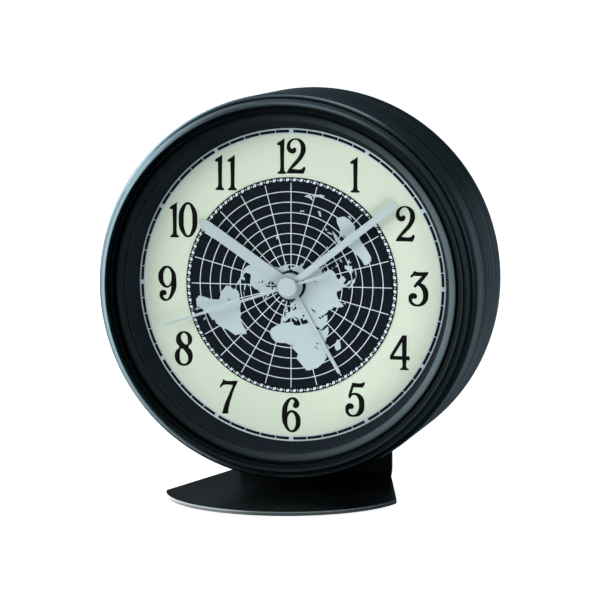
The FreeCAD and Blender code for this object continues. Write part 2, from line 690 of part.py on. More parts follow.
def make_train_bridge():
    body = new_body("train_bridge")
    half = "(dim.movement_half - dim.plate_thickness - dim.bridge_clearance)"
    raised(body, "plate", [box(f"-{half}", f"-{half}", half, half)], BRIDGE_FRONT, "dim.bridge_thickness")
    corner = cut(
        body, "post_hole",
        [("circle", CORNER, CORNER, "dim.corner_post_radius - dim.corner_post_step + dim.screw_clearance")],
        BRIDGE_FRONT, "dim.bridge_thickness",
    )
    repeated_round(body, "post_holes", [corner], 4)
    pivot = "dim.arbor_radius + dim.running_clearance"
    passage = "dim.stem_radius + dim.stem_hole_clearance"
    holes = [
        ("circle", "0", "0", pivot),
        ("circle", THIRD_X, THIRD_Z, pivot),
        ("circle", INTERMEDIATE_X, INTERMEDIATE_Z, pivot),
        ("circle", ROTOR_X, ROTOR_Z, pivot),
        ("circle", SET_X, SET_Z, passage),
        ("circle", ALARM_X, ALARM_Z, passage),
    ]
    cut(body, "holes", holes, BRIDGE_FRONT, "dim.bridge_thickness")
    return body


def make_movement_cover():
    body = new_body("movement_cover")
    half = "dim.movement_half"
    raised(body, "plate", [box(f"-{half}", f"-{half}", half, half)], COVER_INSIDE, "dim.plate_thickness")
    corner = cut(
        body, "screw_hole", [("circle", CORNER, CORNER, PILOT)], COVER_INSIDE, "dim.plate_thickness",
    )
    repeated_round(body, "screw_holes", [corner], 4)
    pivot = "dim.arbor_radius + dim.running_clearance"
    seats = [
        ("circle", "0", "0", pivot),
        ("circle", INTERMEDIATE_X, INTERMEDIATE_Z, pivot),
        ("circle", ROTOR_X, ROTOR_Z, pivot),
    ]
    cut(body, "pivot_seats", seats, COVER_INSIDE, "dim.pivot_depth")
    stems = [
        ("circle", SET_X, SET_Z, "dim.stem_radius + dim.running_clearance"),
        ("circle", ALARM_X, ALARM_Z, "dim.stem_radius + dim.running_clearance"),
    ]
    cut(body, "stem_holes", stems, COVER_INSIDE, "dim.plate_thickness")
    return body


# Wheels of the train, with their arbors and tubes


def tooth_outline(teeth, module, phase):
    """Corners of a toothed wheel in the front view, four to each tooth."""
    root = module * (teeth / 2 - value("dim.dedendum_share"))
    tip = module * (teeth / 2 + value("dim.addendum_share"))
    pitch = 360 / teeth
    root_half = value("dim.root_share") * pitch / 2
    tip_half = value("dim.tip_share") * pitch / 2
    corners = []
    for number in range(int(teeth)):
        middle = phase + number * pitch
        for radius, turn in ((root, -root_half), (tip, -tip_half), (tip, tip_half), (root, root_half)):
            angle = math.radians(middle + turn)
            corners.append(Vector(radius * math.cos(angle), 0, radius * math.sin(angle)))
    return corners


def toothed_disc(teeth, module, phase, front, thickness, bore=0):
    """Toothed wheel with its front at a depth, with or without a bore."""
    corners = tooth_outline(teeth, module, phase)
    face = Part.Face(Part.makePolygon(corners + corners[:1]))
    disc = face.extrude(Vector(0, thickness, 0))
    if bore:
        disc = disc.cut(rod(bore, -thickness, thickness))
    disc.translate(Vector(0, front, 0))
    return disc


def rod(radius, front, rear):
    """Round bar along the hub axis."""
    return Part.makeCylinder(radius, rear - front, Vector(0, front, 0), Vector(0, 1, 0))


def tube(radius, bore, front, rear):
    """Tube along the hub axis."""
    return rod(radius, front, rear).cut(rod(bore, front, rear))


def meshed_phase(teeth, phase, other_teeth, direction):
    """Phase of the second wheel that puts its gap over the first wheel's tooth, on their line of centres."""
    share = ((direction - phase) * teeth / 360) % 1
    return direction + 180 - 360 * (0.5 - share) / other_teeth


def seat_piece(name, shape, x="0", z="0"):
    """Piece with a shape of its own, set on its arbor's axis."""
    piece = doc.addObject("Part::Feature", name)
    piece.Label = name
    piece.Shape = shape
    piece.setExpression(".Placement.Base.x", x)
    piece.setExpression(".Placement.Base.z", f"{HUB} + {z}")
    return piece


WHEEL = value("dim.wheel_thickness")
OVERHANG = value("dim.pinion_overhang")
ARBOR = value("dim.arbor_radius")
PINION = WHEEL + 2 * OVERHANG
HUB_RADIUS = ARBOR + value("dim.hub_wall")


def make_centre_wheel(phases):
    front = value(CENTRE_LEVEL)
    bore = value(f"{CANNON_TUBE} + dim.running_clearance")
    disc = toothed_disc(
        value("dim.centre_teeth"), value("dim.centre_module"), phases["centre"], front, WHEEL, bore,
    )
    boss = tube(bore + value("dim.hub_wall"), bore, front - OVERHANG, front + PINION - OVERHANG)
    return seat_piece("centre_wheel", disc.fuse(boss).removeSplitter())


def make_cannon_pinion(phases):
    level = value(CANNON_LEVEL)
    pinion = toothed_disc(
        value("dim.cannon_teeth"), value("dim.motion_module"), phases["cannon"], level - OVERHANG, PINION,
        value(CANNON_BORE),
    )
    rear = value(f"{CENTRE_LEVEL} + dim.wheel_thickness + 2 * dim.pinion_overhang")
    stem = tube(value(CANNON_TUBE), value(CANNON_BORE), value(MINUTE_HAND_FRONT), rear)
    return seat_piece("cannon_pinion", pinion.fuse(stem).removeSplitter())


def make_hour_wheel(phases):
    level = value(HOUR_LEVEL)
    disc = toothed_disc(
        value("dim.hour_teeth"), value("dim.motion_module"), phases["hour"], level, WHEEL, value(HOUR_BORE),
    )
    stem = tube(value(HOUR_TUBE), value(HOUR_BORE), value(HOUR_HAND_FRONT), level + WHEEL)
    return seat_piece("hour_wheel", disc.fuse(stem).removeSplitter())


def make_alarm_wheel(phases):
    level = value(ALARM_LEVEL)
    disc = toothed_disc(
        value("dim.alarm_teeth"), value("dim.alarm_module"), phases["alarm"], level, WHEEL,
        value(ALARM_BORE),
    )
    stem = tube(value(ALARM_TUBE), value(ALARM_BORE), value(ALARM_HAND_FRONT), level + WHEEL)
    return seat_piece("alarm_wheel", disc.fuse(stem).removeSplitter())


def make_transfer_wheel(phases):
    level = value(CANNON_LEVEL)
    bore = value("dim.stud_radius + dim.running_clearance")
    disc = toothed_disc(
        value("dim.transfer_teeth"), value("dim.motion_module"), phases["transfer"], level, WHEEL, bore,
    )
    pinion_front = value(HOUR_LEVEL) - OVERHANG
    pinion = toothed_disc(
        value("dim.transfer_pinion_teeth"), value("dim.motion_module"), phases["transfer_pinion"],
        pinion_front, level - pinion_front, bore,
    )
    return seat_piece("transfer_wheel", disc.fuse(pinion).removeSplitter(), TRANSFER_X, TRANSFER_Z)


def make_third_wheel(phases):
    level = value(THIRD_LEVEL)
    disc = toothed_disc(
        value("dim.third_teeth"), value("dim.third_module"), phases["third"], level, WHEEL,
    )
    pinion_front = value(CENTRE_LEVEL) - OVERHANG
    pinion = toothed_disc(
        value("dim.third_pinion_teeth"), value("dim.centre_module"), phases["third_pinion"],
        pinion_front, level - pinion_front,
    )
    pivot = value("dim.pivot_depth - dim.running_clearance")
    arbor = rod(ARBOR, value(INSIDE_FRONT) - pivot, value(BRIDGE_FRONT) + pivot)
    return seat_piece("third_wheel", disc.multiFuse([pinion, arbor]).removeSplitter(), THIRD_X, THIRD_Z)


def make_second_wheel(phases):
    level = value(SECOND_LEVEL)
    disc = toothed_disc(
        value("dim.second_teeth"), value("dim.second_module"), phases["second"], level, WHEEL,
    )
    pinion = toothed_disc(
        value("dim.second_pinion_teeth"), value("dim.third_module"), phases["second_pinion"],
        value(THIRD_LEVEL) - OVERHANG, PINION,
    )
    boss = rod(HUB_RADIUS, level - OVERHANG, level + PINION - OVERHANG)
    arbor = rod(ARBOR, value(SECOND_HAND_FRONT), value(f"{COVER_INSIDE} + dim.pivot_depth / 2"))
    return seat_piece("second_wheel", disc.multiFuse([pinion, boss, arbor]).removeSplitter())


def make_intermediate_wheel(phases):
    level = value(INTERMEDIATE_LEVEL)
    disc = toothed_disc(
        value("dim.intermediate_teeth"), value("dim.second_module"), phases["intermediate"], level, WHEEL,
    )
    pinion_front = value(SECOND_LEVEL) - OVERHANG
    pinion = toothed_disc(
        value("dim.intermediate_pinion_teeth"), value("dim.second_module"), phases["intermediate_pinion"],
        pinion_front, level - pinion_front,
    )
    front = value(f"{BRIDGE_FRONT} + dim.bridge_thickness - dim.pivot_depth")
    arbor = rod(ARBOR, front, value(f"{COVER_INSIDE} + dim.pivot_depth / 2"))
    shape = disc.multiFuse([pinion, arbor]).removeSplitter()
    return seat_piece("intermediate_wheel", shape, INTERMEDIATE_X, INTERMEDIATE_Z)


def make_rotor(phases):
    front = value(MAGNET_FRONT)
    magnet = rod(value("dim.magnet_radius"), front, front + value("dim.magnet_length"))
    pinion_front = value(INTERMEDIATE_LEVEL) - OVERHANG
    pinion = toothed_disc(
        value("dim.rotor_teeth"), value("dim.second_module"), phases["rotor"], pinion_front,
        front - pinion_front,
    )
    start = value(f"{BRIDGE_FRONT} + dim.bridge_thickness - dim.pivot_depth")
    arbor = rod(ARBOR, start, value(f"{COVER_INSIDE} + dim.pivot_depth / 2"))
    shape = magnet.multiFuse([pinion, arbor]).removeSplitter()
    return seat_piece("rotor", shape, ROTOR_X, ROTOR_Z)


def make_stem(name, teeth, module, phase, level, x, z):
    """Setting stem: a pinion at its wheel's level on a shaft that runs out through the rear cover."""
    radius = value("dim.stem_radius")
    pinion = toothed_disc(value(teeth), value(module), phase, value(level) - OVERHANG, PINION)
    front = value(f"{INSIDE_FRONT} - dim.pivot_depth + dim.running_clearance")
    rear = value(f"{REAR_FACE} + dim.knob_gap + dim.knob_socket")
    return seat_piece(name, pinion.fuse(rod(radius, front, rear)).removeSplitter(), x, z)


def train_phases():
    """Tooth phases that put every pair in mesh at rest."""
    def teeth(name):
        return value(f"dim.{name}_teeth")

    def way(name):
        return value(f"dim.{name}_direction")

    phases = {"cannon": 0, "second_pinion": 0, "third_pinion": 0, "transfer_pinion": 0}
    phases["transfer"] = meshed_phase(teeth("cannon"), 0, teeth("transfer"), way("transfer"))
    phases["hour"] = meshed_phase(teeth("transfer_pinion"), 0, teeth("hour"), way("transfer") + 180)
    phases["set"] = meshed_phase(teeth("transfer"), phases["transfer"], teeth("set"), way("set"))
    phases["alarm"] = 0
    phases["alarm_pinion"] = meshed_phase(teeth("alarm"), 0, teeth("alarm_pinion"), way("alarm"))
    phases["centre"] = meshed_phase(teeth("third_pinion"), 0, teeth("centre"), way("third") + 180)
    phases["third"] = meshed_phase(teeth("second_pinion"), 0, teeth("third"), way("third"))
    phases["second"] = 0
    phases["intermediate_pinion"] = meshed_phase(
        teeth("second"), 0, teeth("intermediate_pinion"), way("intermediate"),
    )
    phases["intermediate"] = 0
    phases["rotor"] = meshed_phase(teeth("intermediate"), 0, teeth("rotor"), way("rotor"))
    return phases


# Motor and circuit


def make_stator():
    body = new_body("stator")
    rim = "dim.stator_rim"
    left = f"{ROTOR_X} - dim.magnet_radius - dim.magnet_gap - {rim}"
    right = f"dim.coil_right + dim.coil_core_width / 2"
    reach = f"(dim.coil_length / 2 + {rim})"
    front = f"{STATOR_MIDDLE} - dim.stator_thickness / 2"
    outline = box(left, f"-dim.coil_below - {reach}", right, f"-dim.coil_below + {reach}")
    raised(body, "plate", [outline], front, "dim.stator_thickness")
    cut(
        body, "rotor_hole", [("circle", ROTOR_X, ROTOR_Z, "dim.magnet_radius + dim.magnet_gap")],
        front, "dim.stator_thickness",
    )
    window = box(
        f"{ROTOR_X} + dim.magnet_radius + dim.magnet_gap + {rim}", "-dim.coil_below - dim.coil_length / 2",
        f"{right} - dim.coil_core_width", "-dim.coil_below + dim.coil_length / 2",
    )
    cut(body, "window", [window], front, "dim.stator_thickness")
    return body


def make_coil():
    body = new_body("coil")
    sketch = new_sketch(
        body, "round", "XY_Plane", [("circle", "dim.coil_right", STATOR_MIDDLE, "dim.coil_radius")],
        "-dim.coil_below - dim.coil_length / 2",
    )
    winding = body.newObject("PartDesign::Pad", "coil_winding")
    winding.Profile = sketch
    winding.setExpression("Length", "dim.coil_length")
    doc.recompute()
    half_width = "(dim.coil_core_width / 2 + dim.coil_clearance)"
    half_depth = "(dim.stator_thickness / 2 + dim.coil_clearance)"
    before = body.Shape.Volume
    hole = new_sketch(
        body, "bore", "XY_Plane",
        [box(
            f"dim.coil_right - {half_width}", f"{STATOR_MIDDLE} - {half_depth}",
            f"dim.coil_right + {half_width}", f"{STATOR_MIDDLE} + {half_depth}",
        )],
        "-dim.coil_below - dim.coil_length / 2",
    )
    bore = body.newObject("PartDesign::Pocket", "coil_bore")
    bore.Profile = hole
    bore.setExpression("Length", "dim.coil_length")
    bore.Reversed = True
    doc.recompute()
    check_smaller(body, "bore", before)
    return body


def make_circuit_board():
    body = new_body("circuit_board")
    outline = box(
        "-dim.board_left - dim.board_width / 2", "-dim.board_below - dim.board_height / 2",
        "-dim.board_left + dim.board_width / 2", "-dim.board_below + dim.board_height / 2",
    )
    raised(body, "board", [outline], f"{COVER_INSIDE} - dim.board_thickness", "dim.board_thickness")
    return body


def make_quartz_can():
    can = doc.addObject("Part::Cylinder", "quartz_can")
    can.Label = "quartz_can"
    can.setExpression("Radius", "dim.quartz_radius")
    can.setExpression("Height", "dim.quartz_length")
    can.Placement.Rotation = FreeCAD.Rotation(Vector(0, 1, 0), 90)
    can.setExpression(".Placement.Base.x", "-dim.board_left - dim.quartz_length / 2")
    can.setExpression(".Placement.Base.y", f"{COVER_INSIDE} - dim.board_thickness - dim.quartz_radius")
    can.setExpression(".Placement.Base.z", f"{HUB} - dim.board_below + dim.quartz_above")
    return can


# Hands


def blade_outline(width, length, start):
    """Straight blade that points up, with a round end."""
    half = f"({width} / 2)"
    return [
        (f"-{half}", start),
        (half, start),
        (half, f"{length} - {half}", half, -1),
        ("0", length, half, -1),
        (f"-{half}", f"{length} - {half}"),
    ]


def turn_hand(body, angle):
    """Turn a hand clockwise from twelve, as seen from the front."""
    body.Placement.Rotation = FreeCAD.Rotation(Vector(0, 1, 0), 1)
    body.setExpression(".Placement.Rotation.Angle", angle)


def make_blade_hand(name, width, length, boss, bore, front, angle):
    """Hand cut from sheet: a ring on its tube and a straight blade."""
    body = new_body(name)
    raised(body, "blade", [blade_outline(width, length, "0")], front, "dim.hand_thickness")
    raised(body, "boss", [("circle", "0", "0", boss)], front, "dim.hand_thickness")
    cut(body, "bore", [("circle", "0", "0", bore)], front, "dim.hand_thickness")
    turn_hand(body, angle)
    return body


def make_alarm_hand():
    body = new_body("alarm_hand")
    root = "(dim.alarm_root_width / 2)"
    tip = "(dim.alarm_tip_width / 2)"
    outline = [
        (f"-{root}", "0"),
        (root, "0"),
        (tip, f"dim.alarm_length - {tip}", tip, -1),
        ("0", "dim.alarm_length", tip, -1),
        (f"-{tip}", f"dim.alarm_length - {tip}"),
    ]
    raised(body, "blade", [outline], ALARM_HAND_FRONT, "dim.hand_thickness")
    raised(body, "boss", [("circle", "0", "0", "dim.alarm_boss")], ALARM_HAND_FRONT, "dim.hand_thickness")
    cut(body, "bore", [("circle", "0", "0", ALARM_TUBE)], ALARM_HAND_FRONT, "dim.hand_thickness")
    turn_hand(body, "dim.alarm_angle")
    return body


def make_second_hand():
    body = new_body("second_hand")
    half = "(dim.second_width / 2)"
    outline = [
        (f"-{half}", "-dim.second_tail"),
        (half, "-dim.second_tail"),
        (half, f"dim.second_length - {half}", half, -1),
        ("0", "dim.second_length", half, -1),
        (f"-{half}", f"dim.second_length - {half}"),
    ]
    raised(body, "blade", [outline], SECOND_HAND_FRONT, "dim.hand_thickness")
    raised(body, "boss", [("circle", "0", "0", "dim.second_boss")], SECOND_HAND_FRONT, "dim.hand_thickness")
    cut(body, "bore", [("circle", "0", "0", "dim.arbor_radius")], SECOND_HAND_FRONT, "dim.hand_thickness")
    turn_hand(body, "dim.second_angle")
    return body


def make_hub_cap():
    body = new_body("hub_cap")
    front = f"({SECOND_HAND_FRONT} - dim.cap_height)"
    turned(body, "cap", [
        ("0", SECOND_HAND_FRONT),
        ("0", front),
        ("dim.cap_radius - dim.cap_edge", front),
        ("dim.cap_radius", f"{front} + dim.cap_edge"),
        ("dim.cap_radius", SECOND_HAND_FRONT),
    ])
    return body


# Rear cover, battery and sounder

BAY_LOW = "(dim.bay_above - dim.cell_radius - dim.cell_clearance)"
BAY_HIGH = "(dim.bay_above + dim.cell_radius + dim.cell_clearance)"
BAY_HALF = "(dim.bay_length / 2)"
DOOR_INSIDE = f"({REAR_FACE} - dim.door_thickness)"
BAY_FLOOR = f"({DOOR_INSIDE} - 2 * dim.cell_radius - 2 * dim.cell_clearance)"
STAND_SCREW_X = "(dim.stand_screw_spacing / 2)"
STAND_SCREW_Z = "-dim.stand_screw_below_axis"


def make_rear_cover():
    body = new_body("rear_cover")
    outer = f"({DRUM_BORE} - dim.cover_clearance)"
    raised(body, "plate", [("circle", "0", "0", outer)], REAR_INSIDE, "dim.cover_thickness")
    skirt = [("circle", "0", "0", outer), ("circle", "0", "0", f"{outer} - dim.skirt_wall")]
    raised(body, "skirt", skirt, f"{REAR_INSIDE} - dim.skirt_depth", "dim.skirt_depth")
    wall = "dim.bay_wall"
    bay = box(f"-{BAY_HALF} - {wall}", f"{BAY_LOW} - {wall}", f"{BAY_HALF} + {wall}", f"{BAY_HIGH} + {wall}")
    raised(body, "bay", [bay], f"{BAY_FLOOR} - {wall}", f"{REAR_INSIDE} - {BAY_FLOOR} + {wall}")
    boss_radius = f"{PILOT} + dim.screw_boss_wall"
    bosses = [
        ("circle", STAND_SCREW_X, STAND_SCREW_Z, boss_radius),
        ("circle", f"-{STAND_SCREW_X}", STAND_SCREW_Z, boss_radius),
    ]
    raised(body, "bosses", bosses, f"{REAR_FACE} - dim.screw_bite", "dim.screw_bite - dim.cover_thickness")
    cut(
        body, "bay_hollow", [box(f"-{BAY_HALF}", BAY_LOW, BAY_HALF, BAY_HIGH)],
        BAY_FLOOR, f"{REAR_FACE} - {BAY_FLOOR}",
    )
    lap = "dim.door_lap"
    recess = box(f"-{BAY_HALF} - {lap}", f"{BAY_LOW} - {lap}", f"{BAY_HALF} + {lap}", f"{BAY_HIGH} + {lap}")
    cut(body, "door_recess", [recess], DOOR_INSIDE, "dim.door_thickness")
    pilots = [
        ("circle", STAND_SCREW_X, STAND_SCREW_Z, PILOT),
        ("circle", f"-{STAND_SCREW_X}", STAND_SCREW_Z, PILOT),
    ]
    cut(body, "stand_pilots", pilots, f"{REAR_FACE} - dim.screw_bite", "dim.screw_bite")
    post_hole = cut(
        body, "post_screw_hole", [("circle", POST_X, POST_Z, PILOT)], REAR_INSIDE, "dim.cover_thickness",
    )
    repeated_round(body, "post_screw_holes", [post_hole], 4)
    passage = "dim.stem_radius + dim.stem_hole_clearance"
    stems = [("circle", SET_X, SET_Z, passage), ("circle", ALARM_X, ALARM_Z, passage)]
    cut(body, "stem_holes", stems, REAR_INSIDE, "dim.cover_thickness")
    slot_low = "(-dim.buzzer_below - dim.slot_pitch * (dim.slot_count - 1) / 2 - dim.slot_width / 2)"
    slot = cut(
        body, "sound_slot",
        [box(
            "-dim.buzzer_left - dim.slot_length / 2", slot_low,
            "-dim.buzzer_left + dim.slot_length / 2", f"{slot_low} + dim.slot_width",
        )],
        REAR_INSIDE, "dim.cover_thickness",
    )
    slots = body.newObject("PartDesign::LinearPattern", "rear_cover_sound_slots")
    slots.Originals = [slot]
    slots.Direction = (origin_plane(body, "Z_Axis"), [""])
    slots.setExpression("Length", "dim.slot_pitch * (dim.slot_count - 1)")
    slots.setExpression("Occurrences", "dim.slot_count")
    body.Tip = slots
    doc.recompute()
    neck_room = "dim.switch_clearance"
    switch_slot = box(
        f"-dim.switch_left - dim.switch_neck_length / 2 - {neck_room}",
        f"dim.switch_above - dim.switch_neck_height / 2 - {neck_room}",
        f"-dim.switch_left + dim.switch_neck_length / 2 + dim.switch_travel + {neck_room}",
        f"dim.switch_above + dim.switch_neck_height / 2 + {neck_room}",
    )
    cut(body, "switch_slot", [switch_slot], REAR_INSIDE, "dim.cover_thickness")
    return body


def make_battery_door():
    body = new_body("battery_door")
    reach = "(dim.door_lap - dim.door_clearance)"
    outline = box(
        f"-{BAY_HALF} - {reach}", f"{BAY_LOW} - {reach}", f"{BAY_HALF} + {reach}", f"{BAY_HIGH} + {reach}",
    )
    raised(body, "plate", [outline], DOOR_INSIDE, "dim.door_thickness")
    grip_low = f"({BAY_LOW} - {reach} + dim.door_lap)"
    grip = box(
        "-dim.door_grip_width / 2", grip_low,
        "dim.door_grip_width / 2", f"{grip_low} + dim.door_grip_height",
    )
    cut(body, "grip", [grip], f"{REAR_FACE} - dim.door_grip_depth", "dim.door_grip_depth")
    return body


def cylinder(name, radius, length, x, y, z, axis):
    """Round bar along X or Y from its first end."""
    bar = doc.addObject("Part::Cylinder", name)
    bar.setExpression("Radius", radius)
    bar.setExpression("Height", length)
    turn = FreeCAD.Rotation(Vector(0, 1, 0), 90) if axis == "X" else FreeCAD.Rotation(Vector(1, 0, 0), -90)
    bar.Placement.Rotation = turn
    bar.setExpression(".Placement.Base.x", x)
    bar.setExpression(".Placement.Base.y", y)
    bar.setExpression(".Placement.Base.z", f"{HUB} + {z}")
    return bar


CELL_DEPTH = f"({DOOR_INSIDE} - dim.cell_clearance - dim.cell_radius)"
CELL_START = "(-(dim.cell_length + dim.nub_length) / 2)"


def make_battery_cell():
    can = cylinder(
        "cell_can", "dim.cell_radius", "dim.cell_length", CELL_START, CELL_DEPTH, "dim.bay_above", "X",
    )
    nub = cylinder(
        "cell_nub", "dim.nub_radius", "dim.nub_length", f"{CELL_START} + dim.cell_length",
        CELL_DEPTH, "dim.bay_above", "X",
    )
    cell = doc.addObject("Part::MultiFuse", "battery_cell")
    cell.Label = "battery_cell"
    cell.Shapes = [can, nub]
    return cell


def contact_shape(room):
    """Bent contact: a foot on the bay's end wall and a sprung tongue that meets the cell."""
    sheet = value("dim.contact_thickness")
    half = value("dim.contact_width / 2")
    foot = Part.makeBox(sheet, value("dim.cell_radius"), 2 * half, Vector(0, 0, -half))
    tongue_depth = value("dim.cell_radius / 2")
    corners = [
        Vector(sheet, 0, -half), Vector(room, tongue_depth, -half),
        Vector(room, tongue_depth + sheet, -half), Vector(sheet, sheet, -half),
    ]
    tongue = Part.Face(Part.makePolygon(corners + corners[:1])).extrude(Vector(0, 0, 2 * half))
    return foot.fuse(tongue).removeSplitter()


def make_battery_contacts():
    """Two sheet contacts, one at each end of the cell."""
    room = value(f"{BAY_HALF} + {CELL_START}")
    front = value(f"{CELL_DEPTH} - dim.cell_radius / 2")
    height = value("dim.bay_above")
    left = contact_shape(room)
    left.translate(Vector(-value(BAY_HALF), front, height))
    right = contact_shape(room).mirror(Vector(0, 0, 0), Vector(1, 0, 0))
    right.translate(Vector(value(BAY_HALF), front, height))
    return seat_piece("battery_contacts", Part.makeCompound([left, right]))


def make_buzzer():
    body = new_body("buzzer")
    disc = [("circle", "-dim.buzzer_left", "-dim.buzzer_below", "dim.buzzer_radius")]
    raised(body, "capsule", disc, f"{REAR_INSIDE} - dim.buzzer_depth", "dim.buzzer_depth")
    mouth = [("circle", "-dim.buzzer_left", "-dim.buzzer_below", "dim.buzzer_radius - dim.bay_wall")]
    cut(body, "mouth", mouth, f"{REAR_INSIDE} - dim.slot_width", "dim.slot_width")
    return body


def make_alarm_switch():
    body = new_body("alarm_switch")
    room = "dim.switch_clearance"

    def plate(length, height):
        return [box(
            f"-dim.switch_left - {length} / 2", f"dim.switch_above - {height} / 2",
            f"-dim.switch_left + {length} / 2", f"dim.switch_above + {height} / 2",
        )]

    neck = plate("dim.switch_neck_length", "dim.switch_neck_height")
    button = plate("dim.switch_length", "dim.switch_height")
    raised(body, "neck", neck, f"{REAR_INSIDE} - {room}", f"dim.cover_thickness + 2 * {room}")
    raised(body, "button", button, f"{REAR_FACE} + {room}", "dim.switch_stand_out")
    raised(body, "keeper", button, f"{REAR_INSIDE} - {room} - dim.switch_keeper", "dim.switch_keeper")
    return body


def make_knob(name, x, z):
    """Fluted knob pressed on a setting stem."""
    body = new_body(name, x, z)
    front = f"({REAR_FACE} + dim.knob_gap)"
    rear = f"({front} + dim.knob_length)"
    turned(body, "knob", [
        ("0", front),
        ("dim.knob_radius", front),
        ("dim.knob_radius", f"{rear} - dim.knob_edge"),
        ("dim.knob_radius - dim.knob_edge", rear),
        ("0", rear),
    ])
    outside = "dim.knob_radius + dim.flute_depth"
    notch = [
        ("dim.knob_radius - dim.flute_depth", "0"),
        (outside, "-2 * dim.flute_half"),
        (outside, "2 * dim.flute_half"),
    ]
    flute = cut(body, "flute", [notch], front, "dim.knob_length")
    repeated_round(body, "flutes", [flute], "dim.knob_flutes")
    cut(body, "socket", [("circle", "0", "0", "dim.stem_radius")], front, "dim.knob_socket")
    return body


# Stand

FOOT_UNDER = f"(dim.pad_thickness - {HUB})"
FOOT_TOP = f"({FOOT_UNDER} + dim.stand_thickness)"
TAB_FRONT = REAR_FACE
TAB_REAR = f"({TAB_FRONT} + dim.stand_thickness)"
FOOT_NOSE = f"({TAB_REAR} - dim.foot_depth)"
ARC_BACK = "sqrt(dim.foot_arc_radius ^ 2 - dim.foot_corner_half ^ 2)"
FOOT_CORNER = f"({FOOT_NOSE} + dim.foot_arc_radius - {ARC_BACK})"
TAB_TOP = "-dim.tab_top_below_axis"
BEND_START = f"({TAB_FRONT} - dim.bend_radius)"


def make_stand():
    body = new_body("stand")
    outer_bend = "dim.bend_radius + dim.stand_thickness"
    profile = new_sketch(body, "profile", "YZ_Plane", [[
        (FOOT_NOSE, FOOT_UNDER),
        (BEND_START, FOOT_UNDER, outer_bend, -1),
        (TAB_REAR, f"{FOOT_TOP} + dim.bend_radius"),
        (TAB_REAR, TAB_TOP),
        (TAB_FRONT, TAB_TOP),
        (TAB_FRONT, f"{FOOT_TOP} + dim.bend_radius", "dim.bend_radius", 1),
        (BEND_START, FOOT_TOP),
        (FOOT_NOSE, FOOT_TOP),
    ]])
    sheet = body.newObject("PartDesign::Pad", "stand_sheet")
    sheet.Profile = profile
    sheet.setExpression("Length", "2 * dim.foot_corner_half")
    sheet.Midplane = True
    doc.recompute()
    before = body.Shape.Volume
    margin = "dim.overrun"
    wide = f"(dim.foot_corner_half + {margin})"
    ahead = f"({FOOT_NOSE} - {margin})"
    behind = f"({TAB_REAR} + {margin})"
    plan = new_sketch(body, "plan", "XY_Plane", [
        [(f"-{wide}", ahead), (wide, ahead), (wide, behind), (f"-{wide}", behind)],
        [
            ("-dim.foot_corner_half", FOOT_CORNER, "dim.foot_arc_radius", -1),
            ("0", FOOT_NOSE, "dim.foot_arc_radius", -1),
            ("dim.foot_corner_half", FOOT_CORNER),
            ("dim.tab_half", BEND_START),
            ("dim.tab_half", f"{TAB_REAR} + {margin} / 2"),
            ("-dim.tab_half", f"{TAB_REAR} + {margin} / 2"),
            ("-dim.tab_half", BEND_START),
        ],
    ], FOOT_UNDER)
    trim = body.newObject("PartDesign::Pocket", "stand_trim")
    trim.Profile = plan
    trim.setExpression("Length", f"{TAB_TOP} - {FOOT_UNDER}")
    trim.Reversed = True
    doc.recompute()
    check_smaller(body, "trim", before)
    top = TAB_TOP
    round_start = f"({TAB_TOP} - dim.tab_corner_radius)"
    inner = "(dim.tab_half - dim.tab_corner_radius)"
    over = f"({TAB_TOP} + {margin})"
    side = f"(dim.tab_half + {margin})"
    corners = [
        [
            (inner, top, "dim.tab_corner_radius", 1),
            ("dim.tab_half", round_start),
            (side, round_start),
            (side, over),
            (inner, over),
        ],
        [
            (f"-{inner}", over),
            (f"-{side}", over),
            (f"-{side}", round_start),
            ("-dim.tab_half", round_start, "dim.tab_corner_radius", 1),
            (f"-{inner}", top),
        ],
    ]
    cut(body, "tab_corners", corners, f"{TAB_FRONT} - {margin}", f"dim.stand_thickness + 2 * {margin}")
    holes = [
        ("circle", STAND_SCREW_X, STAND_SCREW_Z, PILOT),
        ("circle", f"-{STAND_SCREW_X}", STAND_SCREW_Z, PILOT),
    ]
    cut(body, "screw_holes", holes, TAB_FRONT, "dim.stand_thickness")
    return body


def make_stand_pad():
    """Foam pad that follows the foot's outline, set in from its edge."""
    body = new_body("stand_pad")
    inset = "dim.pad_inset"
    arc = f"(dim.foot_arc_radius - {inset})"
    nose = f"({FOOT_NOSE} + {inset})"
    half = "(dim.foot_corner_half - dim.pad_side_inset)"
    arc_middle = f"({FOOT_NOSE} + dim.foot_arc_radius)"
    shoulder = f"({arc_middle} - sqrt({arc} ^ 2 - {half} ^ 2))"
    under = f"({FOOT_UNDER} - dim.pad_thickness)"
    sketch = new_sketch(body, "outline", "XY_Plane", [[
        (f"-{half}", shoulder, arc, -1),
        ("0", nose, arc, -1),
        (half, shoulder),
        (f"dim.tab_half - {inset}", f"{BEND_START} - dim.pad_rear_inset"),
        (f"-(dim.tab_half - {inset})", f"{BEND_START} - dim.pad_rear_inset"),
    ]], under)
    pad = body.newObject("PartDesign::Pad", "stand_pad_sheet")
    pad.Profile = sketch
    pad.setExpression("Length", "dim.pad_thickness")
    doc.recompute()
    return body


# Screws, each set of alike screws one piece of the list


def make_screws(name, places, seat, length):
    """Screws with slotted heads: the heads stand on a seat and the shanks run forward."""
    radius = value("dim.screw_head_radius")
    head = value("dim.screw_head_height")
    across = value("dim.slot_across")
    deep = value("dim.slot_deep")
    shank = rod(value("dim.screw_radius"), -value(length), 0)
    slot = Part.makeBox(2 * radius, deep, across, Vector(-radius, head - deep, -across / 2))
    pattern = shank.fuse(rod(radius, 0, head)).cut(slot).removeSplitter()
    screws = []
    for x, z in places:
        screw = pattern.copy()
        screw.translate(Vector(value(x), value(seat), value(z)))
        screws.append(screw)
    return seat_piece(name, Part.makeCompound(screws))


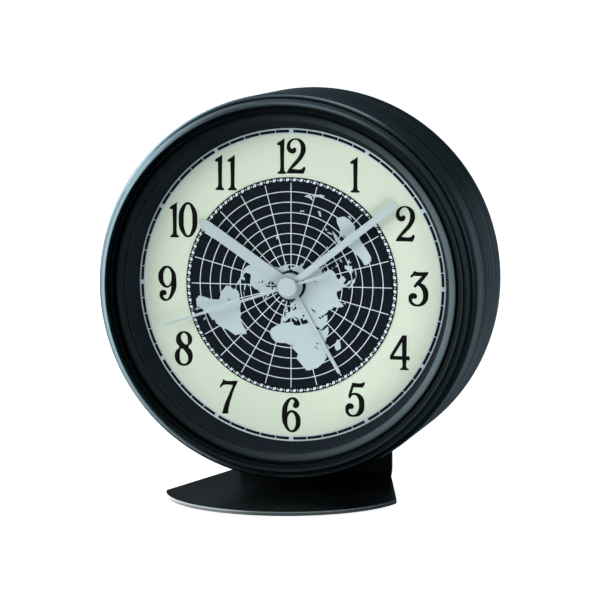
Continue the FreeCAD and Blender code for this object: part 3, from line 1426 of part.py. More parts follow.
def around(x, z):
    """The same place in each quarter turn about the hub."""
    return [(x, z), (f"-({z})", x), (f"-({x})", f"-({z})"), (z, f"-({x})")]


def check_document():
    """Stop if any object failed."""
    for item in doc.Objects:
        bad = [state for state in item.State if state in ("Invalid", "Error")]
        if bad:
            raise ValueError(f"{item.Label} is {bad}")


def write_pieces(pieces):
    """Check each piece's shape, report it and write its file."""
    os.makedirs("parts", exist_ok=True)
    for piece in pieces:
        shape = piece.Shape
        if shape.isNull() or not shape.isValid():
            raise ValueError(f"{piece.Label} has no valid shape")
        print(f"{piece.Label}: {len(shape.Solids)} solid, {shape.Volume:.1f} mm3")
        shape.exportStep(f"parts/{piece.Label}.step")


def main():
    phases = train_phases()
    quarter_posts = around(POST_X, POST_Z)
    quarter_corners = around(CORNER, CORNER)
    quarter_sides = around("dim.carrier_screw_circle", "0")
    pieces = [
        make_drum_case(),
        make_bezel_ring(),
        make_lens(),
        make_lens_gasket(),
        make_dial_surround(),
        make_dial_plate(),
        make_minute_track(),
        make_map_disc(),
        make_dial_carrier(),
        make_screws(
            "carrier_screws", quarter_sides, MOVEMENT_FRONT,
            f"dim.carrier_thickness + {CARRIER_BITE} / 2",
        ),
        make_movement_frame(),
        make_train_bridge(),
        make_movement_cover(),
        make_screws(
            "movement_screws", quarter_corners, MOVEMENT_REAR,
            f"{MOVEMENT_REAR} - {MOVEMENT_FRONT} + dim.carrier_thickness / 2",
        ),
        make_centre_wheel(phases),
        make_cannon_pinion(phases),
        make_hour_wheel(phases),
        make_alarm_wheel(phases),
        make_transfer_wheel(phases),
        make_third_wheel(phases),
        make_second_wheel(phases),
        make_intermediate_wheel(phases),
        make_rotor(phases),
        make_stem(
            "time_set_stem", "dim.set_teeth", "dim.motion_module", phases["set"], CANNON_LEVEL, SET_X, SET_Z,
        ),
        make_stem(
            "alarm_set_stem", "dim.alarm_pinion_teeth", "dim.alarm_module", phases["alarm_pinion"],
            ALARM_LEVEL, ALARM_X, ALARM_Z,
        ),
        make_stator(),
        make_coil(),
        make_circuit_board(),
        make_quartz_can(),
        make_blade_hand(
            "hour_hand", "dim.hour_width", "dim.hour_length", "dim.hour_boss", HOUR_TUBE, HOUR_HAND_FRONT,
            "360 * dim.hour_count / 12 + dim.minute_angle / 12",
        ),
        make_blade_hand(
            "minute_hand", "dim.minute_width", "dim.minute_length", "dim.minute_boss", CANNON_TUBE,
            MINUTE_HAND_FRONT, "dim.minute_angle",
        ),
        make_second_hand(),
        make_alarm_hand(),
        make_hub_cap(),
        make_rear_cover(),
        make_screws(
            "rear_cover_screws", quarter_posts, REAR_FACE,
            "dim.cover_thickness + dim.screw_bite - dim.screw_end_room",
        ),
        make_battery_door(),
        make_battery_cell(),
        make_battery_contacts(),
        make_buzzer(),
        make_alarm_switch(),
        make_knob("time_set_knob", SET_X, SET_Z),
        make_knob("alarm_set_knob", ALARM_X, ALARM_Z),
        make_stand(),
        make_stand_pad(),
        make_screws(
            "stand_screws", [(STAND_SCREW_X, STAND_SCREW_Z), (f"-{STAND_SCREW_X}", STAND_SCREW_Z)],
            TAB_REAR, "dim.stand_thickness + dim.screw_bite - dim.screw_end_room",
        ),
    ]
    doc.recompute()
    check_document()
    write_pieces(pieces)


main()
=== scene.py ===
# %% [markdown]
# # A world time clock in its studio
# This lesson dresses a table clock for its portrait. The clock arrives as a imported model: named pieces that are
# already at their real size and place. Nothing here moves them. Each step says what a piece or a finish is on the
# real clock, how it could be made in Blender, and why it is made the way it is.

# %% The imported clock
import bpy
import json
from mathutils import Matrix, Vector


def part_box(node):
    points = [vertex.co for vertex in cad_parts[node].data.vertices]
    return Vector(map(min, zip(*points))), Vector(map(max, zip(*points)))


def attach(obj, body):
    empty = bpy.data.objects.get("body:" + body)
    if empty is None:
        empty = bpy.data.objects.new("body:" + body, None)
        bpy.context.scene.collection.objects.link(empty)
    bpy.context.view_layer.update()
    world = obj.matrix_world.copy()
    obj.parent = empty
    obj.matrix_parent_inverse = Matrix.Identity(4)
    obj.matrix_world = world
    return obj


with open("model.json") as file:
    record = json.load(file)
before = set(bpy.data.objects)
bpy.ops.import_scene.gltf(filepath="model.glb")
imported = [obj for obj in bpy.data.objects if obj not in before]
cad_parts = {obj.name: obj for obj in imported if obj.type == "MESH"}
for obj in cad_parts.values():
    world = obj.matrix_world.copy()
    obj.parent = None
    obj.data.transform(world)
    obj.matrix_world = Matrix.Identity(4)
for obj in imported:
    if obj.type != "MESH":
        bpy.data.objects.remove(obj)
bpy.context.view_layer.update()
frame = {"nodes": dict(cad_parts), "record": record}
nodes = frame["nodes"]
print("pieces in the packed clock:", len(nodes))

# %% [markdown]
# Blender measures in metres, and a clock is drawn in millimetres, so every size below is a number times `MM`.
# The middle of the dial's front face is the point that everything on the dial is laid out from. It is read from
# the dial's own corners instead of being typed in, so it follows the clock if the clock changes.

# %% Units and the middle of the dial
import json
import math

import bmesh
import bpy
from mathutils import Matrix, Vector

MM = 0.001
dial_low, dial_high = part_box("dial_plate")
hub = (dial_low + dial_high) / 2
hub.y = dial_low.y
print("middle of the dial, in millimetres:", [round(side / MM, 2) for side in hub])

# %% [markdown]
# The camera stands a little to the right of the clock and slightly above it. A long lens keeps the round dial
# nearly round, as a product photographer wants it. The dial isn't quite in the middle of the picture, and a small
# lens shift puts it there without turning the camera. Blender takes the sensor and the lens in millimetres.

# %% The camera
PICTURE = 600
DIAL_ACROSS_PIXEL = 291.3
DIAL_DOWN_PIXEL = 285.4
VIEW_AZIMUTH = 13.45
VIEW_ELEVATION = 6.26
VIEW_DISTANCE = 973.2 * MM
SENSOR_WIDTH = 36
LENS_LENGTH = 192
NEAREST_SEEN = 10 * MM


def direction(azimuth, elevation):
    """The way from the clock to a viewer. Azimuth 0 is in front and 90 is on the right, both in degrees."""
    turn = math.radians(azimuth)
    rise = math.radians(elevation)
    return Vector((math.sin(turn) * math.cos(rise), -math.cos(turn) * math.cos(rise), math.sin(rise)))


def facing(obj, place, target):
    """Put an object at a place, looking at a target."""
    obj.location = place
    obj.rotation_mode = "QUATERNION"
    obj.rotation_quaternion = (target - place).to_track_quat("-Z", "Y")


lens = bpy.data.cameras.new("portrait_lens")
lens.sensor_width = SENSOR_WIDTH
lens.lens = LENS_LENGTH
lens.shift_x = 0.5 - DIAL_ACROSS_PIXEL / PICTURE
lens.shift_y = DIAL_DOWN_PIXEL / PICTURE - 0.5
lens.clip_start = NEAREST_SEEN
camera = bpy.data.objects.new("portrait_camera", lens)
bpy.context.scene.collection.objects.link(camera)
facing(camera, hub + direction(VIEW_AZIMUTH, VIEW_ELEVATION) * VIEW_DISTANCE, hub)
bpy.context.scene.camera = camera
print("the camera stands at", [round(side, 3) for side in camera.location])

# %% [markdown]
# A finish is a small network of shader nodes. Wiring them one by one hides the idea, so this class wraps one
# socket and lets Python's own operators add the Math nodes. `1 - mask` works because the reflected operators are
# there too. Every other node comes from `node`, which sets the settings first, since they decide which sockets
# the node has.

# %% Shader maths
class Signal:
    """A value, colour or vector on its way through a finish's nodes."""

    def __init__(self, tree, socket=None):
        self.tree = tree
        self.socket = socket

    def node(self, kind, settings, sockets, output=0):
        made = self.tree.nodes.new(kind)
        for name, value in settings.items():
            setattr(made, name, value)
        for name, value in sockets.items():
            if isinstance(value, Signal):
                self.tree.links.new(value.socket, made.inputs[name])
            else:
                made.inputs[name].default_value = value
        return Signal(self.tree, made.outputs[output])

    def also(self, output):
        """Another output of the same node."""
        return Signal(self.tree, self.socket.node.outputs[output])

    def maths(self, operation, *values):
        return self.node("ShaderNodeMath", {"operation": operation}, dict(enumerate(values)))

    def __add__(self, other):
        return self.maths("ADD", self, other)

    __radd__ = __add__

    def __sub__(self, other):
        return self.maths("SUBTRACT", self, other)

    def __rsub__(self, other):
        return self.maths("SUBTRACT", other, self)

    def __mul__(self, other):
        return self.maths("MULTIPLY", self, other)

    __rmul__ = __mul__

    def __truediv__(self, other):
        return self.maths("DIVIDE", self, other)

    def __gt__(self, other):
        return self.maths("GREATER_THAN", self, other)

    def __lt__(self, other):
        return self.maths("LESS_THAN", self, other)

    def __abs__(self):
        return self.maths("ABSOLUTE", self)

    def sine(self):
        return self.maths("SINE", self)

    def root(self):
        return self.maths("SQRT", self)

    def clamped(self):
        """The same value, kept from 0 to 1."""
        return self.node("ShaderNodeClamp", {}, {0: self})

    def part(self, axis):
        """One part of a vector: X, Y or Z."""
        return self.node("ShaderNodeSeparateXYZ", {}, {0: self}, axis)

    def stretched(self, factors):
        return self.node("ShaderNodeVectorMath", {"operation": "MULTIPLY"}, {0: self, 1: factors})

    def between(self, first, second):
        """The first colour where this is 0 and the second where it is 1."""
        return self.node("ShaderNodeMix", {"data_type": "RGBA"}, {0: self, 6: first, 7: second}, 2)

    def noise(self, scale, detail=2.0):
        return self.node("ShaderNodeTexNoise", {}, {"Vector": self, "Scale": scale, "Detail": detail})


print("operators that add nodes:", [name for name in dir(Signal) if name.startswith("__r")])

# %% [markdown]
# Every finish starts from one shader whose sockets hold plain numbers. Where the surface changes from spot to
# spot, a signal is wired to a socket. The place on the clock is the best thing to start a signal from: the model's
# own coordinates stay with a piece when it moves, and they need no unwrapping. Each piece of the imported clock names
# a slot for its finish, such as `stand_metal`, so the finishes are kept under those names.

# %% Starting a finish
def colour(red, green, blue):
    return (red, green, blue, 1.0)


class Finish:
    """A named material with its shader and the place on the clock as its first signal."""

    def __init__(self, name, **numbers):
        self.material = bpy.data.materials.new(name)
        self.material.use_nodes = True
        self.tree = self.material.node_tree
        self.shader = self.tree.nodes["Principled BSDF"]
        for socket, value in numbers.items():
            self.shader.inputs[socket.replace("_", " ").title()].default_value = value
        self.place = Signal(self.tree).node("ShaderNodeTexCoord", {}, {}, "Object")

    def wire(self, socket, signal):
        self.tree.links.new(signal.socket, self.shader.inputs[socket])

    def bump(self, height, depth, strength):
        sockets = {"Height": height, "Distance": depth, "Strength": strength}
        self.wire("Normal", height.node("ShaderNodeBump", {}, sockets))

    def from_hub(self):
        """How far a spot lies from the hub's axis."""
        across = self.place.part("X")
        up = self.place.part("Z") - hub.z
        return (across * across + up * up).root()


finishes = {}
print("a finish starts with the sockets of", bpy.app.version_string)

# %% [markdown]
# The drum is a turned aluminium can, brushed while it spins and then dyed black. Brushing leaves fine scratches
# that run round the can, each for only part of the way. Noise that is stretched a lot along the axis and very
# little around it gives just such streaks, and a coarser copy of it gives the broad bands among them. Together
# they change the colour and the roughness, and the fine ones lift the surface a hair. Just behind the rolled lip
# a thin pale line is painted all round: a painted highlight, where the drum's front edge catches the light. The
# narrow rim at the far end isn't brushed and stays dark. A specular tint keeps the dyed metal dark at grazing
# angles too.

# %% Brushed black drum
FINE_STREAKS = (12.0, 1500.0, 12.0)
BROAD_BANDS = (7.0, 520.0, 7.0)
STREAK_SHARE = 0.55
SHINE_START = 0.38
SHINE_CONTRAST = 4.0
STREAK_DEPTH = 0.03 * MM
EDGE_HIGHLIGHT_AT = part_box("drum_case")[0].y + 2.62 * MM
EDGE_HIGHLIGHT_WIDTH = 0.42 * MM
DRUM_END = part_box("drum_case")[1].y - 0.1 * MM


def brushed_black():
    made = Finish("brushed_black", metallic=1.0, specular_tint=colour(0.58, 0.69, 0.76))
    behind = made.place.part("Y")
    streaks = made.place.stretched(FINE_STREAKS).noise(1.0, 3.0)
    bands = made.place.stretched(BROAD_BANDS).noise(1.0)
    shine = (streaks * STREAK_SHARE + bands * (1 - STREAK_SHARE) - SHINE_START) * SHINE_CONTRAST
    brushed = shine.between(colour(0.008, 0.013, 0.016), colour(0.19, 0.25, 0.28))
    # A thin pale band just behind the lip: a painted highlight of the drum's front edge.
    on_painted_highlight = abs(behind - EDGE_HIGHLIGHT_AT) < EDGE_HIGHLIGHT_WIDTH / 2
    with_painted_highlight = on_painted_highlight.between(brushed, colour(0.42, 0.54, 0.60))
    made.wire("Base Color", (behind > DRUM_END).between(with_painted_highlight, colour(0.010, 0.013, 0.015)))
    made.wire("Roughness", 0.52 - shine * 0.3)
    made.bump(streaks, STREAK_DEPTH, 0.6)
    return made.material


finishes["drum_metal"] = brushed_black()
print("made", finishes["drum_metal"].name)

# %% [markdown]
# The bezel is the same dyed aluminium, cut on a lathe. Its sloping face keeps the fine rings that the tool leaves,
# and they catch the light as thin bright circles. The rings only need the distance from the axis: noise on that
# one number is the same all the way round, which is what a lathe does. Towards the channel the slope's colour
# sinks to near black, a painted shade where its gleam falls off. The channel and the bead's inner flank are
# painted near black as well, as painted shade, and the colour grows to the dyed tone towards the bead's outer
# edge, so that the bead's highlight fades inward. The round bead outside the channel is smooth again.

# %% Turned black bezel
RINGS_IN_A_METRE = 2600.0
RING_CONTRAST = 3.0
RING_DEPTH = 0.02 * MM
SLOPE_EDGE = 52.75 * MM
SLOPE_FADE = 0.9 * MM
bezel_low, bezel_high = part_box("bezel_ring")
BEAD_START = (bezel_high.x - bezel_low.x) / 2 - 2.6 * MM
BEAD_SPREAD = 1.5 * MM


def turned_black():
    made = Finish("turned_black", metallic=1.0, specular_tint=colour(0.33, 0.47, 0.54))
    radius = made.from_hub()
    rings = radius.node("ShaderNodeTexNoise", {"noise_dimensions": "1D"}, {"W": radius * RINGS_IN_A_METRE})
    rings = (rings - 0.5) * RING_CONTRAST + 0.5
    # The slope's colour darkens towards the channel: painted shade where its gleam falls off.
    on_slope = ((SLOPE_EDGE - radius) / SLOPE_FADE).clamped()
    outward = ((radius - BEAD_START) / BEAD_SPREAD).clamped()
    tone = made.place.noise(60.0, 3.0)
    dyed = tone.between(colour(0.095, 0.133, 0.150), colour(0.110, 0.152, 0.172))
    cut = rings.between(colour(0.006, 0.009, 0.011), colour(0.094, 0.128, 0.142))
    # Painted shade: the channel and the bead's inner flank are near black, and the colour grows to the dyed tone
    # outward, so the bead's highlight fades inward.
    bead_painted_shade = outward.between(colour(0.009, 0.013, 0.014), dyed)
    made.wire("Base Color", on_slope.between(bead_painted_shade, cut))
    made.wire("Roughness", 0.62 + tone * 0.05 - (on_slope + outward) * 0.25)
    made.bump(rings * on_slope, RING_DEPTH, 0.8)
    return made.material


finishes["bezel_metal"] = turned_black()
print("the bead starts", round(BEAD_START / MM, 2), "mm from the axis")

# %% [markdown]
# The flat glass is nearly invisible, and should be. A mirror that is almost fully transparent behaves as a thin
# sheet of glass does: it shows what is behind it, with a faint reflection that grows towards grazing angles. The
# Fresnel node gives that growth. It is only used where light enters: from inside, the node would take the back of
# the sheet for a full mirror.

# %% Clear glass
GLASS_BENDS = 1.42
GLASS_MIRRORS = 0.35


def clear_glass():
    made = Finish("clear_glass", metallic=1.0, roughness=0.02, base_color=colour(0.95, 1.0, 1.0))
    grazing = made.place.node("ShaderNodeFresnel", {}, {"IOR": GLASS_BENDS})
    leaving = made.place.node("ShaderNodeNewGeometry", {}, {}, "Backfacing")
    made.wire("Alpha", grazing * GLASS_MIRRORS * (1 - leaving))
    return made.material


finishes["glass"] = clear_glass()
print("made", finishes["glass"].name)

# %% [markdown]
# The dial is a metal plate with a fine pressed lattice, lacquered a pale green ivory. Two sets of diagonal waves,
# multiplied, give little diamonds, and they only need to be felt: a small change of tone and a small bump.

# %% Ivory dial
LATTICE = 4400.0
LATTICE_SHARE = 0.8
LATTICE_DEPTH = 0.02 * MM


def ivory_lattice():
    made = Finish("ivory_lattice")
    across = made.place.part("X")
    up = made.place.part("Z")
    rising = ((across + up) * LATTICE).sine()
    falling = ((across - up) * LATTICE).sine()
    diamonds = rising * falling * 0.5 + 0.5
    shade = diamonds * LATTICE_SHARE + made.place.noise(22.0) * (1 - LATTICE_SHARE)
    made.wire("Base Color", shade.between(colour(0.535, 0.61, 0.48), colour(0.645, 0.715, 0.59)))
    made.wire("Roughness", diamonds * 0.1 + 0.42)
    made.bump(diamonds, LATTICE_DEPTH, 0.5)
    return made.material


finishes["dial_ivory"] = ivory_lattice()
print("made", finishes["dial_ivory"].name)

# %% [markdown]
# The stand is cut from black sheet and bent. The cut edges stay bare and shine as a thin silver line. The finish
# finds them by the way the surface faces: on the flat foot an edge faces sideways, and on the upright tab it faces
# left or right. The bare edge is bright in a thin band at the top and darker below it.

# %% Sheet stand with bare edges
FOOT_TOP = 1.35 * MM
BEND_ROOM = 4.5 * MM
EDGE_BRIGHT_FROM = 0.86 * MM
SIDEWAYS = 0.6
BARE_METAL = 0.7
PAINT_DEPTH = 0.004 * MM


def sheet_stand():
    stand_low, stand_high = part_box("stand")
    made = Finish("sheet_stand")
    made.shader.inputs["Specular IOR Level"].default_value = 0.12
    normal = made.place.also("Normal")
    height = made.place.part("Z") - stand_low.z
    on_foot = (height < FOOT_TOP) * (made.place.part("Y") < stand_high.y - BEND_ROOM)
    foot_edge = on_foot * (abs(normal.part("Z")) < SIDEWAYS)
    tab_edge = (1 - on_foot) * (abs(normal.part("X")) > SIDEWAYS)
    bare = foot_edge + tab_edge
    spots = made.place.noise(2600.0)
    paint = spots.between(colour(0.003, 0.0045, 0.005), colour(0.006, 0.008, 0.009))
    # The bare edge is darker below this height and bright above it.
    bare_edge_bands = (height > EDGE_BRIGHT_FROM).between(colour(0.075, 0.09, 0.095), colour(0.21, 0.245, 0.26))
    made.wire("Base Color", bare.between(paint, bare_edge_bands))
    made.wire("Metallic", bare * BARE_METAL)
    made.wire("Roughness", spots * 0.08 + 0.2 + bare * 0.25)
    made.bump(spots, PAINT_DEPTH, 0.5)
    return made.material


finishes["stand_metal"] = sheet_stand()
print("made", finishes["stand_metal"].name)

# %% [markdown]
# The movement's coil is wound with thin enamelled wire. Its turns show as even lines across the winding, so a
# sine along the bobbin's own length makes them. It raises each turn a hair, and it paints the colour dark copper
# between the turns and bright copper on them: painted shade and painted highlight. The length is the longest side
# of the coil's box.

# %% Copper winding
WIRE = 0.22 * MM
WIRE_DEPTH = 0.05 * MM


def copper_winding():
    coil_low, coil_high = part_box("coil")
    sides = list(coil_high - coil_low)
    along = "XYZ"[sides.index(max(sides))]
    made = Finish("copper_winding", metallic=0.85, roughness=0.3)
    turns = (made.place.part(along) * (2 * math.pi / WIRE)).sine() * 0.5 + 0.5
    # Dark copper between the turns and bright copper on them: painted shade and painted highlight.
    made.wire("Base Color", turns.between(colour(0.30, 0.10, 0.04), colour(0.75, 0.33, 0.14)))
    made.bump(turns, WIRE_DEPTH, 0.8)
    return made.material


finishes["copper"] = copper_winding()
print("made", finishes["copper"].name)

# %% [markdown]
# The other pieces share one recipe: a base tone that wanders between two close colours, a roughness that wanders
# with it, and a fine grain that is pressed into the surface. Satin paint, moulded plastic, rubber and plated steel
# differ only in the numbers, so one function makes them all. `mirror` says how strongly a finish that isn't metal
# mirrors the room, and printed blacks hardly do.

# %% Grained finishes
CLOUDS = 35.0
CLOUD_SHARE = 0.6
ROUGHNESS_SWING = 0.12


def grained(name, dark, light, roughness, grain, depth, metallic=0.0, stretch=(1.0, 1.0, 1.0), mirror=0.5):
    made = Finish(name, metallic=metallic)
    made.shader.inputs["Specular IOR Level"].default_value = mirror
    spots = made.place.stretched(stretch).noise(grain)
    clouds = made.place.noise(CLOUDS)
    tone = spots * (1 - CLOUD_SHARE) + clouds * CLOUD_SHARE
    made.wire("Base Color", tone.between(colour(*dark), colour(*light)))
    made.wire("Roughness", spots * ROUGHNESS_SWING + (roughness - ROUGHNESS_SWING / 2))
    made.bump(spots, depth, 0.6)
    return made.material


finishes.update({
    "rubber": grained("seal_rubber", (0.010, 0.010, 0.010), (0.022, 0.022, 0.022), 0.7, 900.0, 0.03 * MM),
    "foam": grained("pad_foam", (0.014, 0.014, 0.015), (0.050, 0.050, 0.052), 0.9, 1500.0, 0.15 * MM),
    "black_plastic": grained("moulded_black", (0.012, 0.014, 0.016), (0.024, 0.027, 0.030), 0.48, 2400.0, 0.03 * MM),
    "rim_paint": grained("rim_navy", (0.0045, 0.0085, 0.0145), (0.0065, 0.0115, 0.019), 0.6, 1200.0, 0.001 * MM,
                         mirror=0.12),
    "track_silver": grained("track_satin", (0.45, 0.54, 0.57), (0.53, 0.63, 0.665), 0.5, 1800.0, 0.01 * MM,
                            mirror=0.1),
    "map_black": grained("map_black", (0.004, 0.0065, 0.0095), (0.006, 0.0095, 0.0135), 0.5, 1400.0, 0.001 * MM,
                         mirror=0.04),
    "hand_silver": grained("hand_satin", (0.39, 0.46, 0.47), (0.45, 0.525, 0.535), 0.45, 2200.0, 0.01 * MM,
                           mirror=0.25),
    "acetal": grained("wheel_acetal", (0.62, 0.60, 0.52), (0.74, 0.72, 0.64), 0.4, 500.0, 0.02 * MM),
    "steel": grained("plated_steel", (0.26, 0.26, 0.255), (0.34, 0.34, 0.335), 0.42, 1500.0, 0.01 * MM, 0.9),
    "core_steel": grained("rolled_steel", (0.28, 0.29, 0.30), (0.44, 0.45, 0.46), 0.38, 1.0, 0.01 * MM, 0.9,
                          (60.0, 900.0, 2600.0)),
    "board": grained("board_green", (0.010, 0.07, 0.035), (0.016, 0.12, 0.06), 0.4, 420.0, 0.03 * MM),
    "cell": grained("cell_jacket", (0.55, 0.56, 0.56), (0.70, 0.71, 0.71), 0.34, 900.0, 0.01 * MM, 0.6),
})
print("finishes ready:", len(finishes))

# %% [markdown]
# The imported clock's record says which slot each piece belongs to. A loop gives every piece the finish of its slot,
# so that none is left in plain grey.

# %% Handing out the finishes
slot_of = {row["node"]: row["material_slot"] for row in frame["record"]["subparts"]}
for name, obj in nodes.items():
    obj.data.materials.clear()
    obj.data.materials.append(finishes[slot_of[name]])
print("finishes handed to", len(nodes), "pieces")

# %% [markdown]
# Ink on a dial is a thin raised layer, and each printed shape is a flat outline. A filled 2D curve is how a letter
# in a font is made, and it suits every print here: closed outlines, some with holes, some points smooth and some
# sharp. The curve is given its thin depth, turned upright and kept as a mesh.

# %% A printed plate
INK_DEPTH = 0.05 * MM
CURVE_STEPS = 6


def plate(name, outlines, on, slot, rise=INK_DEPTH, smooth=False, finish=None):
    """A thin plate that stands `rise` in front of the surface at depth `on`, from outlines in millimetres."""
    drawing = bpy.data.curves.new(name, "CURVE")
    drawing.dimensions = "2D"
    drawing.fill_mode = "BOTH"
    drawing.resolution_u = CURVE_STEPS if smooth else 1
    drawing.extrude = rise / 2
    for outline in outlines:
        spline = drawing.splines.new("BEZIER")
        spline.use_cyclic_u = True
        spline.bezier_points.add(len(outline) - 1)
        for point, (across, up, *corner) in zip(spline.bezier_points, outline):
            point.co = (across * MM, up * MM, 0)
            handle = "AUTO" if smooth and not corner else "VECTOR"
            point.handle_left_type = handle
            point.handle_right_type = handle
    sketch = bpy.data.objects.new(name + "_sketch", drawing)
    bpy.context.scene.collection.objects.link(sketch)
    depsgraph = bpy.context.evaluated_depsgraph_get()
    mesh = bpy.data.meshes.new_from_object(sketch.evaluated_get(depsgraph))
    bpy.data.objects.remove(sketch)
    upright = Matrix.Translation((hub.x, on - rise / 2, hub.z)) @ Matrix.Rotation(math.radians(90), 4, "X")
    mesh.transform(upright)
    mesh.materials.clear()
    mesh.materials.append(finish or finishes[slot])
    piece = bpy.data.objects.new(name, mesh)
    bpy.context.scene.collection.objects.link(piece)
    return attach(piece, "case")


def on_circle(radius, degrees):
    """A place on the dial, clockwise from the top."""
    turn = math.radians(degrees)
    return radius * math.sin(turn), radius * math.cos(turn)


print("ink stands", INK_DEPTH / MM, "mm above the dial")

# %% [markdown]
# The numerals are a bold, narrow, old-style face with round ends. Each figure is drawn on a grid of 420 units
# from its top to its foot, down being positive, as a sign painter would: an outline of smooth points with a few
# sharp corners, and a second outline for each hole. A third item, `C`, marks a sharp corner.

# %% The ten figures
FIGURE_UNITS = 420
C = True


def oval(left, right, top, bottom):
    middle = ((left + right) / 2, (top + bottom) / 2)
    half = ((right - left) / 2, (bottom - top) / 2)
    turns = [math.radians(degrees) for degrees in range(0, 360, 45)]
    return [(middle[0] + half[0] * math.sin(turn), middle[1] - half[1] * math.cos(turn)) for turn in turns]


figures = {
    "0": [oval(0, 231, 0, 420), oval(63, 169, 27, 393)],
    "1": [[(93, 0, C), (91, 378), (98, 392), (117, 408), (110, 422, C), (14, 422, C), (7, 408), (28, 392), (38, 378),
           (38, 84, C), (16, 86), (1, 72), (12, 56), (60, 24)]],
    "2": [[(110, 0), (196, 35), (230, 130), (200, 215), (140, 290), (66, 360, C), (178, 360), (206, 334), (222, 338),
           (203, 415, C), (0, 415, C), (4, 396), (80, 290), (146, 205), (168, 130), (152, 50), (106, 18), (58, 45),
           (43, 85), (60, 122), (96, 108), (116, 138), (92, 176), (50, 178), (12, 150), (0, 100), (30, 30)]],
    "3": [[(73, 0, C), (92, 11), (238, 11, C), (236, 34, C), (150, 142, C), (205, 180), (238, 285), (200, 385),
           (113, 420), (32, 398), (0, 330), (14, 282), (58, 262), (94, 278), (104, 306), (84, 330), (54, 328),
           (44, 345), (66, 380), (113, 394), (156, 360), (173, 280), (150, 210), (108, 176), (88, 196), (64, 192),
           (72, 164), (160, 64, C), (96, 62), (60, 64), (32, 82), (22, 72), (46, 36)]],
    "4": [[(148, 0, C), (203, 0, C), (200, 246, C), (232, 246), (238, 270), (232, 294), (200, 291, C), (200, 376),
           (210, 388), (228, 399), (222, 411, C), (126, 411, C), (120, 399), (138, 388), (148, 376), (148, 291, C),
           (4, 291, C), (0, 250, C)], [(146, 82, C), (146, 246, C), (46, 246, C)]],
    "5": [[(84, 10, C), (202, 12), (222, 0), (234, 6), (212, 66, C), (102, 66, C), (80, 136, C), (120, 128),
           (200, 165), (232, 268), (200, 378), (97, 418), (25, 395), (0, 328), (14, 276), (57, 255), (92, 270),
           (103, 302), (84, 324), (54, 324), (42, 342), (62, 380), (102, 392), (150, 350), (165, 266), (148, 185),
           (105, 156), (76, 172), (60, 194), (42, 194)]],
    "6": [[(130, 0), (190, 26), (212, 86), (176, 129), (134, 110), (138, 80), (150, 52), (126, 26), (86, 70),
           (62, 178, C), (115, 153), (195, 190), (228, 283), (195, 385), (115, 420), (30, 350), (0, 208), (36, 62)],
          oval(67, 168, 183, 394)],
    "7": [[(45, 0, C), (64, 15), (220, 15, C), (218, 32, C), (172, 130), (142, 225), (114, 320), (100, 415, C),
           (27, 415, C), (56, 310), (98, 210), (160, 70, C), (70, 68), (34, 80), (8, 106), (0, 94), (24, 44)]],
    "8": [[(117, 0), (190, 30), (217, 97), (204, 146), (172, 184), (208, 232), (224, 297), (190, 385), (110, 417),
           (34, 385), (0, 302), (18, 235), (56, 192), (26, 150), (17, 92), (44, 28)],
          [(117, 22), (150, 48), (160, 95), (148, 158), (100, 128), (79, 82), (90, 38)],
          [(84, 212), (134, 250), (164, 312), (154, 368), (112, 391), (74, 368), (62, 300), (66, 246)]],
    "9": [[(105, 0), (188, 48), (225, 182), (200, 325), (105, 422), (36, 402), (14, 352), (28, 306), (63, 291),
           (95, 304), (102, 332), (88, 353), (62, 358), (74, 386), (104, 398), (140, 350), (162, 240, C),
           (105, 267), (32, 225), (0, 127), (32, 40)], oval(63, 163, 28, 240)],
}
figure_width = {name: max(spot[0] for spot in outlines[0]) for name, outlines in figures.items()}
print("figures drawn:", len(figures), "and the widest is", max(figure_width.values()), "units")

# %% [markdown]
# Twelve numerals stand upright round the dial, each centred on its hour. A numeral of two figures sets them close
# together, so that it stays narrow, and the gap suits the pair. A numeral looks centred by its weight and not by
# its box, so most are nudged right and up by a hair, which `NUDGES` holds in millimetres. Each is its own piece and
# easy to find.

# %% The numerals
FIGURE_HEIGHT = 10.85
NUMERAL_RADIUS = 39.4
HOUR_TURN = 30
FIGURE_GAPS = {"10": -5, "11": 36, "12": 3}
NUDGES = {2: (1.2, -0.2), 4: (-0.4, 0), 5: (0.2, -0.25), 6: (0, -0.35), 7: (0, -0.7), 8: (0.15, -0.7), 9: (0.3, -0.3),
          10: (0.2, -0.35), 11: (-0.8, 0)}
numeral_ink = grained("numeral_ink", (0.0030, 0.0036, 0.0032), (0.0055, 0.0064, 0.0056), 0.6, 1400.0, 0.001 * MM,
                      mirror=0.04)


def numeral(hour):
    text = str(hour)
    gap = FIGURE_GAPS.get(text, 0)
    unit = FIGURE_HEIGHT / FIGURE_UNITS
    width = sum(figure_width[letter] for letter in text) + gap * (len(text) - 1)
    centre_across, centre_up = on_circle(NUMERAL_RADIUS, hour * HOUR_TURN)
    nudge_across, nudge_up = NUDGES.get(hour, (0, 0))
    left = centre_across - width * unit / 2 + nudge_across
    top = centre_up + FIGURE_HEIGHT / 2 + nudge_up
    outlines = []
    for letter in text:
        for outline in figures[letter]:
            outlines.append([(left + across * unit, top - down * unit, *corner) for across, down, *corner in outline])
        left += (figure_width[letter] + gap) * unit
    return plate(f"numeral_{hour}", outlines, hub.y, "map_black", smooth=True, finish=numeral_ink)


numerals = [numeral(hour) for hour in range(1, 13)]
print("numerals printed:", len(numerals), "and each is", FIGURE_HEIGHT, "mm tall")

# %% [markdown]
# The minute track is a thin silver ring. Sixty black dashes are printed on it, one between each two minutes, and
# the silver left between them marks the minutes. The gap is wider at every fifth minute.

# %% The minute dashes
DASH_INNER = 46.55
DASH_OUTER = 47.4
MINUTE_TURN = 6
MINUTE_GAP = 0.26
FIFTH_GAP = 1.3
DASH_STEPS = 4
track_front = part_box("minute_track")[0].y


